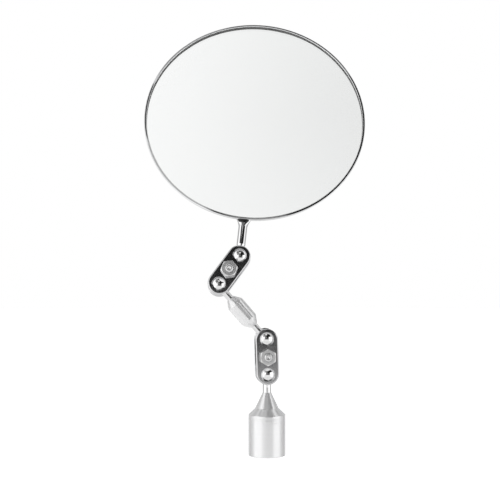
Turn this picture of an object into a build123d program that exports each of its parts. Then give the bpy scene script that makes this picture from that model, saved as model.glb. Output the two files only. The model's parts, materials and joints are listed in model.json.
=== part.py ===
from build123d import *
import os
from math import asin, cos, degrees, radians, sin, sqrt, tan

# A round inspection mirror on two double ball joints, ending in a threaded socket for a pole.
# Millimetres. Origin: centre of the socket's mouth. +Z runs up the socket's axis, and the mirror
# looks towards -Y, leaning back. The chain, from the socket up, is: socket, lower clamp, link,
# upper clamp, mirror head. A steel ball sits at each end of each clamp.

# --- driving dimensions -------------------------------------------------------------------------
MIRROR_DIAMETER = 85.0
MIRROR_DEPTH = 2.4
BALL_RADIUS = 3.5
BALL_SPACING = 13.0  # between the two balls of one clamp
LINK_LENGTH = 26.2  # from ball centre to ball centre
STEM_LENGTH = 14.7  # from ball centre to the rim's outer wall
SOCKET_RADIUS = 6.75
SOCKET_BALL_HEIGHT = 29.9
RUNNING_GAP = 0.02

# --- how the chain is posed at rest, in degrees --------------------------------------------------
LOWER_CLAMP_ROLL = -1.9  # to the right of upright, seen from the front
LOWER_CLAMP_YAW = 7.0  # its front turned to the right
LINK_ROLL = -41.2
LINK_LEAN = -4.0  # away from the viewer; negative comes forward
UPPER_CLAMP_ROLL = 36.6
UPPER_CLAMP_YAW = 1.0
UPPER_CLAMP_LEAN = 12.0
STEM_ROLL = 6.15
MIRROR_YAW = 1.5
MIRROR_LEAN = 22.5

# --- clamp plates, screws, nuts and washers ------------------------------------------------------
PLATE_LENGTH = 20.6
PLATE_WIDTH = 8.4
PLATE_THICKNESS = 0.9
PLATE_INNER = 2.25  # from the clamp's middle plane to a plate's inner face
PLATE_OUTER = PLATE_INNER + PLATE_THICKNESS
PLATE_EDGE_ROUND = 0.5
PLATE_INNER_BREAK = 0.3
SEAT_HOLE_RADIUS = 2.35
SEAT_HOLE_BREAK = 0.18
SCREW_RADIUS = 1.48
SCREW_HOLE_RADIUS = 1.65
SCREW_TIP = PLATE_OUTER + 2.95
SCREW_TIP_BREAK = 0.7
NUT_ACROSS_FLATS = 5.5
NUT_HEIGHT = 2.4
NUT_BORE_RADIUS = 1.5
NUT_CORNER_BREAK = 0.45
WASHER_OUTER_RADIUS = 2.9
WASHER_INNER_RADIUS = 1.6
WASHER_THICKNESS = 0.7
WASHER_SPLIT = 0.5
WASHER_SPLIT_SLANT = 20.0
HEAD_RADIUS = 2.8
HEAD_HEIGHT = 2.0
HEAD_ROUND = 0.9
RECESS_WIDTH = 0.75
RECESS_SPAN = 3.2
RECESS_DEPTH = 1.2
RECESS_TAPER = 12.0
LOWER_NUT_TURN = 28.0
UPPER_NUT_TURN = 44.0

# --- necks and shanks ----------------------------------------------------------------------------
SOCKET_NECK_RADIUS = 1.5
SOCKET_SHANK_RADIUS = 1.1
LINK_NECK_RADIUS = 1.25
LINK_SHANK_RADIUS = 0.95
LINK_SHANK_END = 10.6
STEM_NECK_RADIUS = 1.4
STEM_NECK_END = 4.4
STEM_RADIUS = 1.65
STEM_SHOULDER = 4.8
STEM_FOOT_START = STEM_LENGTH - 2.7
STEM_TENON_RADIUS = 1.0
STEM_TENON_LENGTH = 1.4
FOOT_HALF_WIDTH = 3.3
FOOT_HALF_DEPTH = 1.1
FOOT_SINK = 0.9  # how far the foot's widest section lies inside the rim's circle
SHANK_END_GAP = 0.1

# --- socket and link sleeve ----------------------------------------------------------------------
SOCKET_HEIGHT = 15.1
SOCKET_SHOULDER_RADIUS = 4.3
SOCKET_SHOULDER_HEIGHT = 17.4
SOCKET_TOP_RADIUS = 1.55
SOCKET_TOP_HEIGHT = 23.2
SOCKET_EDGE_BREAK = 0.25
THREAD_RADIUS = 4.25  # the tapping-drill wall of an M10 thread
THREAD_LENGTH = 12.0
DRILL_POINT_HALF_ANGLE = 59.0
SHANK_HOLE_FLOOR = 17.0
SLEEVE_RADIUS = 3.25
SLEEVE_END_RADIUS = 1.5
SLEEVE_START = 6.55
SLEEVE_TAPER = 2.6
SLEEVE_HOLE_DEPTH = 4.25

# --- mirror head ---------------------------------------------------------------------------------
RIM_RADIUS = MIRROR_DIAMETER / 2
RIM_BACK_RADIUS = 41.9
RIM_STRAIGHT = 0.6  # height of the wall before it draws in towards the back
RIM_WALL = 0.35
RIM_FRONT_LIP_RADIUS = 41.5
RIM_FRONT_LIP = 0.3
RIM_BACK_LIP_RADIUS = 41.2
RIM_BACK_LIP = 0.25
RIM_ROUND = 0.42
RIM_SEAM = 0.12
RIM_SEAM_REACH = 4.0
RIM_SEAM_ANGLE = 135.0
GLASS_RADIUS = 41.75
GLASS_THICKNESS = 1.3
GLASS_SEAMED_EDGE = 0.12
LAYER_RADIUS = 41.65
SHEET_RADIUS = 41.6
SILVER_THICKNESS = 0.05
CARD_THICKNESS = 0.2
BEAD_RADIUS = 31.0
BEAD_HALF_WIDTH = 2.0
BEAD_HEIGHT = 0.5

# Heights of the layers' faces above the mirror's middle plane, from the front to the back.
FRONT = MIRROR_DEPTH / 2
GLASS_FRONT = FRONT - RIM_FRONT_LIP
GLASS_BACK = GLASS_FRONT - GLASS_THICKNESS
SILVER_BACK = GLASS_BACK - SILVER_THICKNESS
CARD_BACK = SILVER_BACK - CARD_THICKNESS
SHEET_BACK = RIM_BACK_LIP - FRONT
WALL_BEND = FRONT - RIM_STRAIGHT
WALL_DRAW = (RIM_RADIUS - RIM_BACK_RADIUS) / (WALL_BEND + FRONT)


# --- planes --------------------------------------------------------------------------------------
def towards(roll, lean):
    """A direction that is up, rolled right by roll and leaned away from the viewer by lean."""
    across, away = radians(roll), radians(lean)
    return Vector(sin(across) * cos(away), sin(away), cos(across) * cos(away))


def facing(yaw, lean):
    """The front normal of a piece that is turned right by yaw and leans back by lean."""
    turn, back = radians(yaw), radians(lean)
    return Vector(sin(turn) * cos(back), -cos(turn) * cos(back), sin(back))


def in_plane(normal, roll):
    """The direction in the plane of normal that looks, from the front, rolled right by roll."""
    depth = -(normal.X * sin(radians(roll)) + normal.Z * cos(radians(roll))) / normal.Y
    return Vector(sin(radians(roll)), depth, cos(radians(roll))).normalized()


lower_normal = facing(LOWER_CLAMP_YAW, 0)
lower_along = in_plane(lower_normal, LOWER_CLAMP_ROLL)
link_along = towards(LINK_ROLL, LINK_LEAN)
upper_normal = facing(UPPER_CLAMP_YAW, UPPER_CLAMP_LEAN)
upper_along = in_plane(upper_normal, UPPER_CLAMP_ROLL)
mirror_normal = facing(MIRROR_YAW, MIRROR_LEAN)
stem_along = in_plane(mirror_normal, STEM_ROLL)

socket_ball = Vector(0, 0, SOCKET_BALL_HEIGHT)
link_lower_ball = socket_ball + lower_along * BALL_SPACING
link_upper_ball = link_lower_ball + link_along * LINK_LENGTH
mirror_ball = link_upper_ball + upper_along * BALL_SPACING
mirror_centre = mirror_ball + stem_along * (STEM_LENGTH + RIM_RADIUS)

# A clamp's plane has X along its plates and Z out of its front; the others have Z along their axis.
lower_clamp = Plane(origin=(socket_ball + link_lower_ball) / 2, x_dir=lower_along, z_dir=lower_normal)
upper_clamp = Plane(origin=(link_upper_ball + mirror_ball) / 2, x_dir=upper_along, z_dir=upper_normal)
socket_neck = Plane(origin=socket_ball, x_dir=(1, 0, 0), z_dir=(0, 0, -1))
link_lower_neck = Plane(origin=link_lower_ball, x_dir=(0, 1, 0), z_dir=link_along)
link_upper_neck = Plane(origin=link_upper_ball, x_dir=(0, 1, 0), z_dir=link_along * -1)
stem = Plane(origin=mirror_ball, x_dir=stem_along.cross(mirror_normal), z_dir=stem_along)
head = Plane(origin=mirror_centre, x_dir=stem_along.cross(mirror_normal), z_dir=mirror_normal)


def side_of(plane):
    """The half plane in which a turned outline is drawn: X is the radius and Y is the height."""
    return Plane(origin=plane.origin, x_dir=plane.x_dir, z_dir=plane.y_dir * -1)


def spin_axis(plane):
    """The axis that a turned outline is spun about."""
    return Axis(plane.origin, plane.z_dir)


def finish(piece, name):
    """Labels a finished piece and writes it."""
    piece.part.label = name
    export_step(piece.part, f"parts/{name}.step")
    return piece.part


# --- balls and necks -----------------------------------------------------------------------------
def make_ball(name, centre):
    """A steel ball."""
    with BuildPart(Plane(origin=centre)) as ball:
        Sphere(BALL_RADIUS)
    return finish(ball, name)


def make_neck(name, plane, outline):
    """A turned neck whose cupped end sits on its ball. The outline starts at the cup's edge."""
    cup = BALL_RADIUS + RUNNING_GAP
    edge = outline[0]
    middle = (edge / 2, sqrt(cup**2 - edge**2 / 4))
    with BuildPart() as neck:
        with BuildSketch(side_of(plane)):
            with BuildLine():
                seat = ThreePointArc((0, cup), middle, (edge, sqrt(cup**2 - edge**2)))
                Polyline(seat @ 1, *outline[1:], seat @ 0)
            make_face()
        revolve(axis=spin_axis(plane))
    return finish(neck, name)


def make_socket_stud():
    """The neck under the lowest ball, with its shank in the socket."""
    shoulder = SOCKET_BALL_HEIGHT - SOCKET_TOP_HEIGHT
    shank_end = SOCKET_BALL_HEIGHT - SHANK_HOLE_FLOOR - SHANK_END_GAP
    return make_neck(
        "socket_stud",
        socket_neck,
        [
            SOCKET_NECK_RADIUS,
            (SOCKET_NECK_RADIUS, shoulder),
            (SOCKET_SHANK_RADIUS, shoulder),
            (SOCKET_SHANK_RADIUS, shank_end),
            (0, shank_end),
        ],
    )


def make_link_stud(name, plane):
    """A neck at one end of the link, with its shank in the sleeve."""
    return make_neck(
        name,
        plane,
        [
            LINK_NECK_RADIUS,
            (LINK_NECK_RADIUS, SLEEVE_START),
            (LINK_SHANK_RADIUS, SLEEVE_START),
            (LINK_SHANK_RADIUS, LINK_SHANK_END),
            (0, LINK_SHANK_END),
        ],
    )


def make_mirror_stem():
    """The thicker neck under the mirror, stepped down at the ball, with a tenon in the foot."""
    tenon_end = STEM_FOOT_START + STEM_TENON_LENGTH
    return make_neck(
        "mirror_stem",
        stem,
        [
            STEM_NECK_RADIUS,
            (STEM_NECK_RADIUS, STEM_NECK_END),
            (STEM_RADIUS, STEM_SHOULDER),
            (STEM_RADIUS, STEM_FOOT_START),
            (STEM_TENON_RADIUS, STEM_FOOT_START),
            (STEM_TENON_RADIUS, tenon_end),
            (0, tenon_end),
        ],
    )


# --- turned aluminium bodies ---------------------------------------------------------------------
def make_socket():
    """The socket: a blind threaded hole below, a chamfer and a cone above, a hole for the stud."""
    drill_point = THREAD_RADIUS / tan(radians(DRILL_POINT_HALF_ANGLE))
    hole = SOCKET_SHANK_RADIUS + RUNNING_GAP
    with BuildPart() as socket:
        with BuildSketch(side_of(Plane.XY)):
            with BuildLine():
                Polyline(
                    (THREAD_RADIUS, 0),
                    (SOCKET_RADIUS - SOCKET_EDGE_BREAK, 0),
                    (SOCKET_RADIUS, SOCKET_EDGE_BREAK),
                    (SOCKET_RADIUS, SOCKET_HEIGHT),
                    (SOCKET_SHOULDER_RADIUS, SOCKET_SHOULDER_HEIGHT),
                    (SOCKET_TOP_RADIUS, SOCKET_TOP_HEIGHT),
                    (hole, SOCKET_TOP_HEIGHT),
                    (hole, SHANK_HOLE_FLOOR),
                    (0, SHANK_HOLE_FLOOR),
                    (0, THREAD_LENGTH + drill_point),
                    (THREAD_RADIUS, THREAD_LENGTH),
                    close=True,
                )
            make_face()
        revolve(axis=spin_axis(Plane.XY))
    return finish(socket, "pole_socket")


def make_link_sleeve():
    """The link's sleeve: a cylinder with a taper and a stud hole at each end."""
    hole = LINK_SHANK_RADIUS + RUNNING_GAP
    end = LINK_LENGTH - SLEEVE_START
    with BuildPart() as sleeve:
        with BuildSketch(side_of(link_lower_neck)):
            with BuildLine():
                Polyline(
                    (hole, SLEEVE_START),
                    (SLEEVE_END_RADIUS, SLEEVE_START),
                    (SLEEVE_RADIUS, SLEEVE_START + SLEEVE_TAPER),
                    (SLEEVE_RADIUS, end - SLEEVE_TAPER),
                    (SLEEVE_END_RADIUS, end),
                    (hole, end),
                    (hole, end - SLEEVE_HOLE_DEPTH),
                    (0, end - SLEEVE_HOLE_DEPTH),
                    (0, SLEEVE_START + SLEEVE_HOLE_DEPTH),
                    (hole, SLEEVE_START + SLEEVE_HOLE_DEPTH),
                    close=True,
                )
            make_face()
        revolve(axis=spin_axis(link_lower_neck))
    return finish(sleeve, "link_sleeve")


# --- clamps --------------------------------------------------------------------------------------
def make_plate(name, plane):
    """A clamp plate. The plane's Z points out of its outer face. Its two holes seat the balls."""
    with BuildPart(plane.offset(PLATE_INNER)) as plate:
        with BuildSketch(plane.offset(PLATE_INNER)):
            SlotOverall(PLATE_LENGTH, PLATE_WIDTH)
        extrude(amount=PLATE_THICKNESS)
        outer = plate.faces().sort_by(spin_axis(plane))[-1]
        fillet(outer.edges(), PLATE_EDGE_ROUND)
        inner = plate.faces().sort_by(spin_axis(plane))[0]
        chamfer(inner.edges(), PLATE_INNER_BREAK)
        Hole(SCREW_HOLE_RADIUS)
        with BuildSketch(plane.offset(PLATE_OUTER)):
            with Locations((-BALL_SPACING / 2, 0), (BALL_SPACING / 2, 0)):
                Circle(SEAT_HOLE_RADIUS)
        extrude(amount=-PLATE_THICKNESS, mode=Mode.SUBTRACT)
        mouths = plate.faces().sort_by(spin_axis(plane))[-1].edges().filter_by(GeomType.CIRCLE)
        chamfer([e for e in mouths if abs(e.radius - SEAT_HOLE_RADIUS) < 0.01], SEAT_HOLE_BREAK)
        with Locations((-BALL_SPACING / 2, 0, -PLATE_INNER), (BALL_SPACING / 2, 0, -PLATE_INNER)):
            Sphere(BALL_RADIUS + RUNNING_GAP, mode=Mode.SUBTRACT)
    return finish(plate, name)


def make_nut(name, plane, turn):
    """A hexagon nut on the front plate, chamfered at its corners and its bore."""
    corner = NUT_ACROSS_FLATS / sqrt(3)
    top = PLATE_OUTER + NUT_HEIGHT
    with BuildPart() as nut:
        with BuildSketch(plane.offset(PLATE_OUTER)):
            RegularPolygon(corner, 6, rotation=turn)
            Circle(NUT_BORE_RADIUS, mode=Mode.SUBTRACT)
        extrude(amount=NUT_HEIGHT)
        with BuildSketch(side_of(plane)):
            with BuildLine():
                Polyline(
                    (0, PLATE_OUTER),
                    (corner - NUT_CORNER_BREAK, PLATE_OUTER),
                    (corner + NUT_CORNER_BREAK, PLATE_OUTER + NUT_CORNER_BREAK),
                    (corner + NUT_CORNER_BREAK, top - NUT_CORNER_BREAK),
                    (corner - NUT_CORNER_BREAK, top),
                    (0, top),
                    close=True,
                )
            make_face()
        revolve(axis=spin_axis(plane), mode=Mode.INTERSECT)
    return finish(nut, name)


def make_screw(name, plane):
    """A pan-head screw put in from the back, with a cross recess and a chamfered tip."""
    seat = -(PLATE_OUTER + WASHER_THICKNESS)
    top = seat - HEAD_HEIGHT
    inset = HEAD_ROUND * (1 - cos(radians(45)))
    with BuildPart() as screw:
        with BuildSketch(side_of(plane)):
            with BuildLine():
                crown = ThreePointArc(
                    (HEAD_RADIUS, top + HEAD_ROUND),
                    (HEAD_RADIUS - inset, top + inset),
                    (HEAD_RADIUS - HEAD_ROUND, top),
                )
                Polyline(
                    crown @ 1,
                    (0, top),
                    (0, SCREW_TIP),
                    (SCREW_RADIUS - SCREW_TIP_BREAK, SCREW_TIP),
                    (SCREW_RADIUS, SCREW_TIP - SCREW_TIP_BREAK),
                    (SCREW_RADIUS, seat),
                    (HEAD_RADIUS, seat),
                    crown @ 0,
                )
            make_face()
        revolve(axis=spin_axis(plane))
        with BuildSketch(plane.offset(top)):
            Rectangle(RECESS_SPAN, RECESS_WIDTH)
            Rectangle(RECESS_WIDTH, RECESS_SPAN)
        extrude(amount=RECESS_DEPTH, taper=RECESS_TAPER, mode=Mode.SUBTRACT)
    return finish(screw, name)


def make_washer(name, plane):
    """A split lock washer under the screw's head, pressed flat."""
    with BuildPart() as washer:
        with BuildSketch(plane.offset(-PLATE_OUTER - WASHER_THICKNESS)):
            Circle(WASHER_OUTER_RADIUS)
            Circle(WASHER_INNER_RADIUS, mode=Mode.SUBTRACT)
            with Locations((0, WASHER_OUTER_RADIUS)):
                Rectangle(
                    WASHER_SPLIT,
                    2 * WASHER_OUTER_RADIUS,
                    rotation=WASHER_SPLIT_SLANT,
                    mode=Mode.SUBTRACT,
                )
        extrude(amount=WASHER_THICKNESS)
    return finish(washer, name)


def make_clamp(prefix, plane, nut_turn):
    """One double ball clamp: two plates, a screw from the back, a lock washer and a nut."""
    back = Plane(origin=plane.origin, x_dir=plane.x_dir, z_dir=plane.z_dir * -1)
    return [
        make_plate(f"{prefix}_front_plate", plane),
        make_plate(f"{prefix}_back_plate", back),
        make_screw(f"{prefix}_screw", plane),
        make_washer(f"{prefix}_lock_washer", plane),
        make_nut(f"{prefix}_nut", plane, nut_turn),
    ]


# --- mirror head pieces -----------------------------------------------------------------------------

def make_rim():
    """The rim: a strip rolled into a channel round the glass, with a butt seam."""
    inner_wall = RIM_RADIUS - RIM_WALL
    with BuildPart() as rim:
        with BuildSketch(side_of(head)):
            with BuildLine():
                Polyline(
                    (RIM_FRONT_LIP_RADIUS, FRONT),
                    (RIM_RADIUS, FRONT),
                    (RIM_RADIUS, WALL_BEND),
                    (RIM_BACK_RADIUS, -FRONT),
                    (RIM_BACK_LIP_RADIUS, -FRONT),
                    (RIM_BACK_LIP_RADIUS, SHEET_BACK),
                    (inner_wall - WALL_DRAW * (WALL_BEND - SHEET_BACK), SHEET_BACK),
                    (inner_wall, WALL_BEND),
                    (inner_wall, GLASS_FRONT),
                    (RIM_FRONT_LIP_RADIUS, GLASS_FRONT),
                    close=True,
                )
            make_face()
            fillet(vertices().group_by(Axis.X)[-1].sort_by(Axis.Y)[-1], RIM_ROUND)
            fillet(vertices().group_by(Axis.Y)[0].sort_by(Axis.X)[-1], RIM_ROUND)
        revolve(axis=spin_axis(head))
        with BuildSketch(head.offset(-FRONT)):
            with Locations(Rotation(0, 0, RIM_SEAM_ANGLE)):
                with Locations((RIM_RADIUS, 0)):
                    Rectangle(RIM_SEAM_REACH, RIM_SEAM)
        extrude(amount=MIRROR_DEPTH, mode=Mode.SUBTRACT)
    return finish(rim, "rim")


def make_disc(name, radius, back, thickness, edge=0.0):
    """A flat round layer of the mirror."""
    with BuildPart() as disc:
        with BuildSketch(head.offset(back)):
            Circle(radius)
        extrude(amount=thickness)
        if edge:
            chamfer(disc.edges().filter_by(GeomType.CIRCLE), edge)
    return finish(disc, name)


def make_back_sheet():
    """The sheet steel back, with a pressed bead that stiffens it."""
    sheet = CARD_BACK - SHEET_BACK
    inner, outer = BEAD_RADIUS - BEAD_HALF_WIDTH, BEAD_RADIUS + BEAD_HALF_WIDTH
    with BuildPart() as back:
        with BuildSketch(side_of(head)):
            with BuildLine():
                rear = ThreePointArc(
                    (inner, SHEET_BACK),
                    (BEAD_RADIUS, SHEET_BACK - BEAD_HEIGHT),
                    (outer, SHEET_BACK),
                )
                hollow = ThreePointArc(
                    (outer - sheet / 2, CARD_BACK),
                    (BEAD_RADIUS, CARD_BACK - BEAD_HEIGHT),
                    (inner + sheet / 2, CARD_BACK),
                )
                Polyline(rear @ 1, (SHEET_RADIUS, SHEET_BACK), (SHEET_RADIUS, CARD_BACK), hollow @ 0)
                Polyline(hollow @ 1, (0, CARD_BACK), (0, SHEET_BACK), rear @ 0)
            make_face()
        revolve(axis=spin_axis(head))
    return finish(back, "back_sheet")


def make_foot():
    """The fishtail foot brazed to the rim's wall, with a hole for the stem's tenon."""
    with BuildPart() as foot:
        with BuildSketch(stem.offset(STEM_FOOT_START)):
            Circle(STEM_RADIUS)
        with BuildSketch(stem.offset(STEM_LENGTH + FOOT_SINK)):
            Ellipse(FOOT_HALF_WIDTH, FOOT_HALF_DEPTH)
        loft()
        with BuildSketch(stem.offset(STEM_FOOT_START)):
            Circle(STEM_TENON_RADIUS + RUNNING_GAP)
        extrude(amount=STEM_TENON_LENGTH + SHANK_END_GAP, mode=Mode.SUBTRACT)
        with BuildSketch(side_of(head)):
            with BuildLine():
                Polyline(
                    (0, MIRROR_DEPTH),
                    (RIM_RADIUS, MIRROR_DEPTH),
                    (RIM_RADIUS, WALL_BEND),
                    (RIM_BACK_RADIUS, -FRONT),
                    (0, -FRONT),
                    close=True,
                )
            make_face()
        revolve(axis=spin_axis(head), mode=Mode.SUBTRACT)
    return finish(foot, "stem_foot")


# --- build ---------------------------------------------------------------------------------------
os.makedirs("parts", exist_ok=True)

make_socket()
make_socket_stud()
make_ball("socket_ball", socket_ball)
make_clamp("lower_clamp", lower_clamp, LOWER_NUT_TURN)
make_ball("link_lower_ball", link_lower_ball)
make_link_stud("link_lower_stud", link_lower_neck)
make_link_sleeve()
make_link_stud("link_upper_stud", link_upper_neck)
make_ball("link_upper_ball", link_upper_ball)
make_clamp("upper_clamp", upper_clamp, UPPER_NUT_TURN)
make_ball("mirror_ball", mirror_ball)
make_mirror_stem()
make_foot()
make_rim()
make_disc("mirror_glass", GLASS_RADIUS, GLASS_BACK, GLASS_THICKNESS, GLASS_SEAMED_EDGE)
make_disc("silvering", LAYER_RADIUS, SILVER_BACK, SILVER_THICKNESS)
make_disc("backing_card", LAYER_RADIUS, CARD_BACK, CARD_THICKNESS)
make_back_sheet()

for name, neck, normal in (
    ("socket", Vector(0, 0, -1), lower_normal),
    ("link lower", link_along, lower_normal),
    ("link upper", link_along * -1, upper_normal),
    ("mirror", stem_along, upper_normal),
):
    print(name, "neck leaves its clamp's plane by", round(degrees(asin(neck.dot(normal))), 2), "degrees")
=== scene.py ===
"""Looks for a round inspection mirror on two double ball clamps and a threaded socket.

Sizes are in millimetres, and a seat carries each piece from its own upright frame, in
millimetres, to its place on the object, in metres. Places and directions are read from the
packed joints, so every piece lies where the moving design puts it.
"""

from __future__ import annotations

import json
import logging
import math
from abc import ABC, abstractmethod
from dataclasses import dataclass
from enum import Enum
from typing import Iterable, Sequence

import bmesh
import bpy
from mathutils import Matrix, Vector

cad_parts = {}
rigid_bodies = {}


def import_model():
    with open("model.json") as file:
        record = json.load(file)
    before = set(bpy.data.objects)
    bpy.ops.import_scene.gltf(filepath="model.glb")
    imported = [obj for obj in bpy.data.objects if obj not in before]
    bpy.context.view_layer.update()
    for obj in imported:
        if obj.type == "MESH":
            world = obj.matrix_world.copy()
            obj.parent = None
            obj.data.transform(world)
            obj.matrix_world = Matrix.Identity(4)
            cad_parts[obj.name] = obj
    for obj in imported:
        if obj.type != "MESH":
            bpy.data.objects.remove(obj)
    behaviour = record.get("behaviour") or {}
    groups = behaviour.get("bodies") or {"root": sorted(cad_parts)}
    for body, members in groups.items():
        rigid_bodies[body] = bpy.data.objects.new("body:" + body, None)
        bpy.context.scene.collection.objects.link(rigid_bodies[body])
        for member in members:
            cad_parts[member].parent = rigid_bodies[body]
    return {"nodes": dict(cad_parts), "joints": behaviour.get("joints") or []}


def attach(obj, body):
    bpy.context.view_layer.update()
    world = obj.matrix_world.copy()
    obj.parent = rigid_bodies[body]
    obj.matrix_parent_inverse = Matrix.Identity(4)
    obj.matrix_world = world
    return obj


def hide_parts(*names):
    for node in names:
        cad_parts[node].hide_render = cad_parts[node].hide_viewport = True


LOG = logging.getLogger("inspection_mirror")
MM = 0.001
Point = tuple[float, float]
Colour = tuple[float, float, float]
Corner = tuple[float, float, float]
# A colour Mix node's two colours and its result can only be reached by their numbers.
COLOUR_A, COLOUR_B, COLOUR_RESULT = 6, 7, 2


# ---------------------------------------------------------------------------------------------
# Places
# ---------------------------------------------------------------------------------------------


@dataclass(frozen=True)
class Seat:
    """A piece's own frame: its origin in metres, its axis, and the direction across it."""

    origin: Vector
    axis: Vector
    across: Vector

    @classmethod
    def standing(cls, origin: Vector, axis: Vector, across: Vector) -> "Seat":
        """Makes a seat whose across direction is squared up to its axis.

        Args:
            origin: The place of the seat's origin, in metres.
            axis: The direction of the piece's own Z.
            across: A direction near the piece's own X.

        Returns:
            The seat.
        """
        upright = axis.normalized()
        level = (across - upright * across.dot(upright)).normalized()
        return cls(origin.copy(), upright, level)

    def turn(self) -> Matrix:
        """Returns the rotation from the piece's own frame to the object's."""
        return Matrix((self.across, self.axis.cross(self.across), self.axis)).transposed()

    def place(self) -> Matrix:
        """Returns the matrix from the piece's millimetres to the object's metres."""
        return Matrix.Translation(self.origin) @ self.turn().to_4x4() @ Matrix.Scale(MM, 4)

    def moved(self, height: float) -> "Seat":
        """Returns this seat moved along its axis by a height in millimetres."""
        return Seat(self.origin + self.axis * height * MM, self.axis, self.across)


class Frame:
    """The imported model, with the places that the looks are hung on."""

    def __init__(self) -> None:
        """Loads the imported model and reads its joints."""
        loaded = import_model()
        self.nodes: dict[str, bpy.types.Object] = loaded["nodes"]
        self.joints: dict[str, dict] = {joint["name"]: joint for joint in loaded["joints"]}

    def pivot(self, joint: str) -> Vector:
        """Returns the place that a joint turns about."""
        return Vector(self.joints[joint]["pos_m"])

    def axis(self, joint: str) -> Vector:
        """Returns the direction of a joint's axis."""
        return Vector(self.joints[joint]["axis"]).normalized()

    def facing(self, joint: str) -> Vector:
        """Returns a clamp's normal, which is a swing joint's axis, on the side of the mirror's face."""
        axis = self.axis(joint)
        return axis if axis.y < 0 else -axis

    def flat_normal(self, node: str) -> Vector:
        """Returns the normal of a node's largest face, on the side that the mirror faces.

        Args:
            node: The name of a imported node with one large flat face.

        Returns:
            The unit normal.
        """
        largest = max(self.nodes[node].data.polygons, key=lambda face: face.area)
        normal = largest.normal.normalized()
        return normal if normal.y < 0 else -normal


# ---------------------------------------------------------------------------------------------
# Node helpers
# ---------------------------------------------------------------------------------------------


class Graph:
    """A node tree with short calls for adding, setting and joining nodes."""

    def __init__(self, tree: bpy.types.NodeTree) -> None:
        """Keeps the tree that the calls work on."""
        self.tree = tree

    def add(
        self, kind: str, links: dict | None = None, values: dict | None = None, **settings
    ) -> bpy.types.Node:
        """Adds a node.

        Args:
            kind: The node's type name.
            links: Output sockets for inputs, by input name or number.
            values: Plain values for inputs, by input name or number.
            **settings: Properties of the node itself.

        Returns:
            The new node.
        """
        node = self.tree.nodes.new(kind)
        for name, value in settings.items():
            setattr(node, name, value)
        for socket, value in (values or {}).items():
            node.inputs[socket].default_value = value
        for socket, source in (links or {}).items():
            self.tree.links.new(source, node.inputs[socket])
        return node

    def math(self, operation: str, *terms) -> bpy.types.NodeSocket:
        """Adds a Math node.

        Args:
            operation: The operation's name.
            *terms: Sockets or numbers, in order.

        Returns:
            The result's socket.
        """
        node = self.tree.nodes.new("ShaderNodeMath")
        node.operation = operation
        for index, term in enumerate(terms):
            if isinstance(term, (int, float)):
                node.inputs[index].default_value = term
            else:
                self.tree.links.new(term, node.inputs[index])
        return node.outputs[0]

    def step(
        self, value, low: float, high: float, start: float = 0.0, end: float = 1.0
    ) -> bpy.types.NodeSocket:
        """Adds a smooth step from one value to another.

        Args:
            value: The socket that is mapped.
            low: Where the step starts.
            high: Where the step ends.
            start: The result below low.
            end: The result above high.

        Returns:
            The result's socket.
        """
        values = {"From Min": low, "From Max": high, "To Min": start, "To Max": end}
        node = self.add("ShaderNodeMapRange", {"Value": value}, values, interpolation_type="SMOOTHSTEP")
        return node.outputs["Result"]


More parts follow.
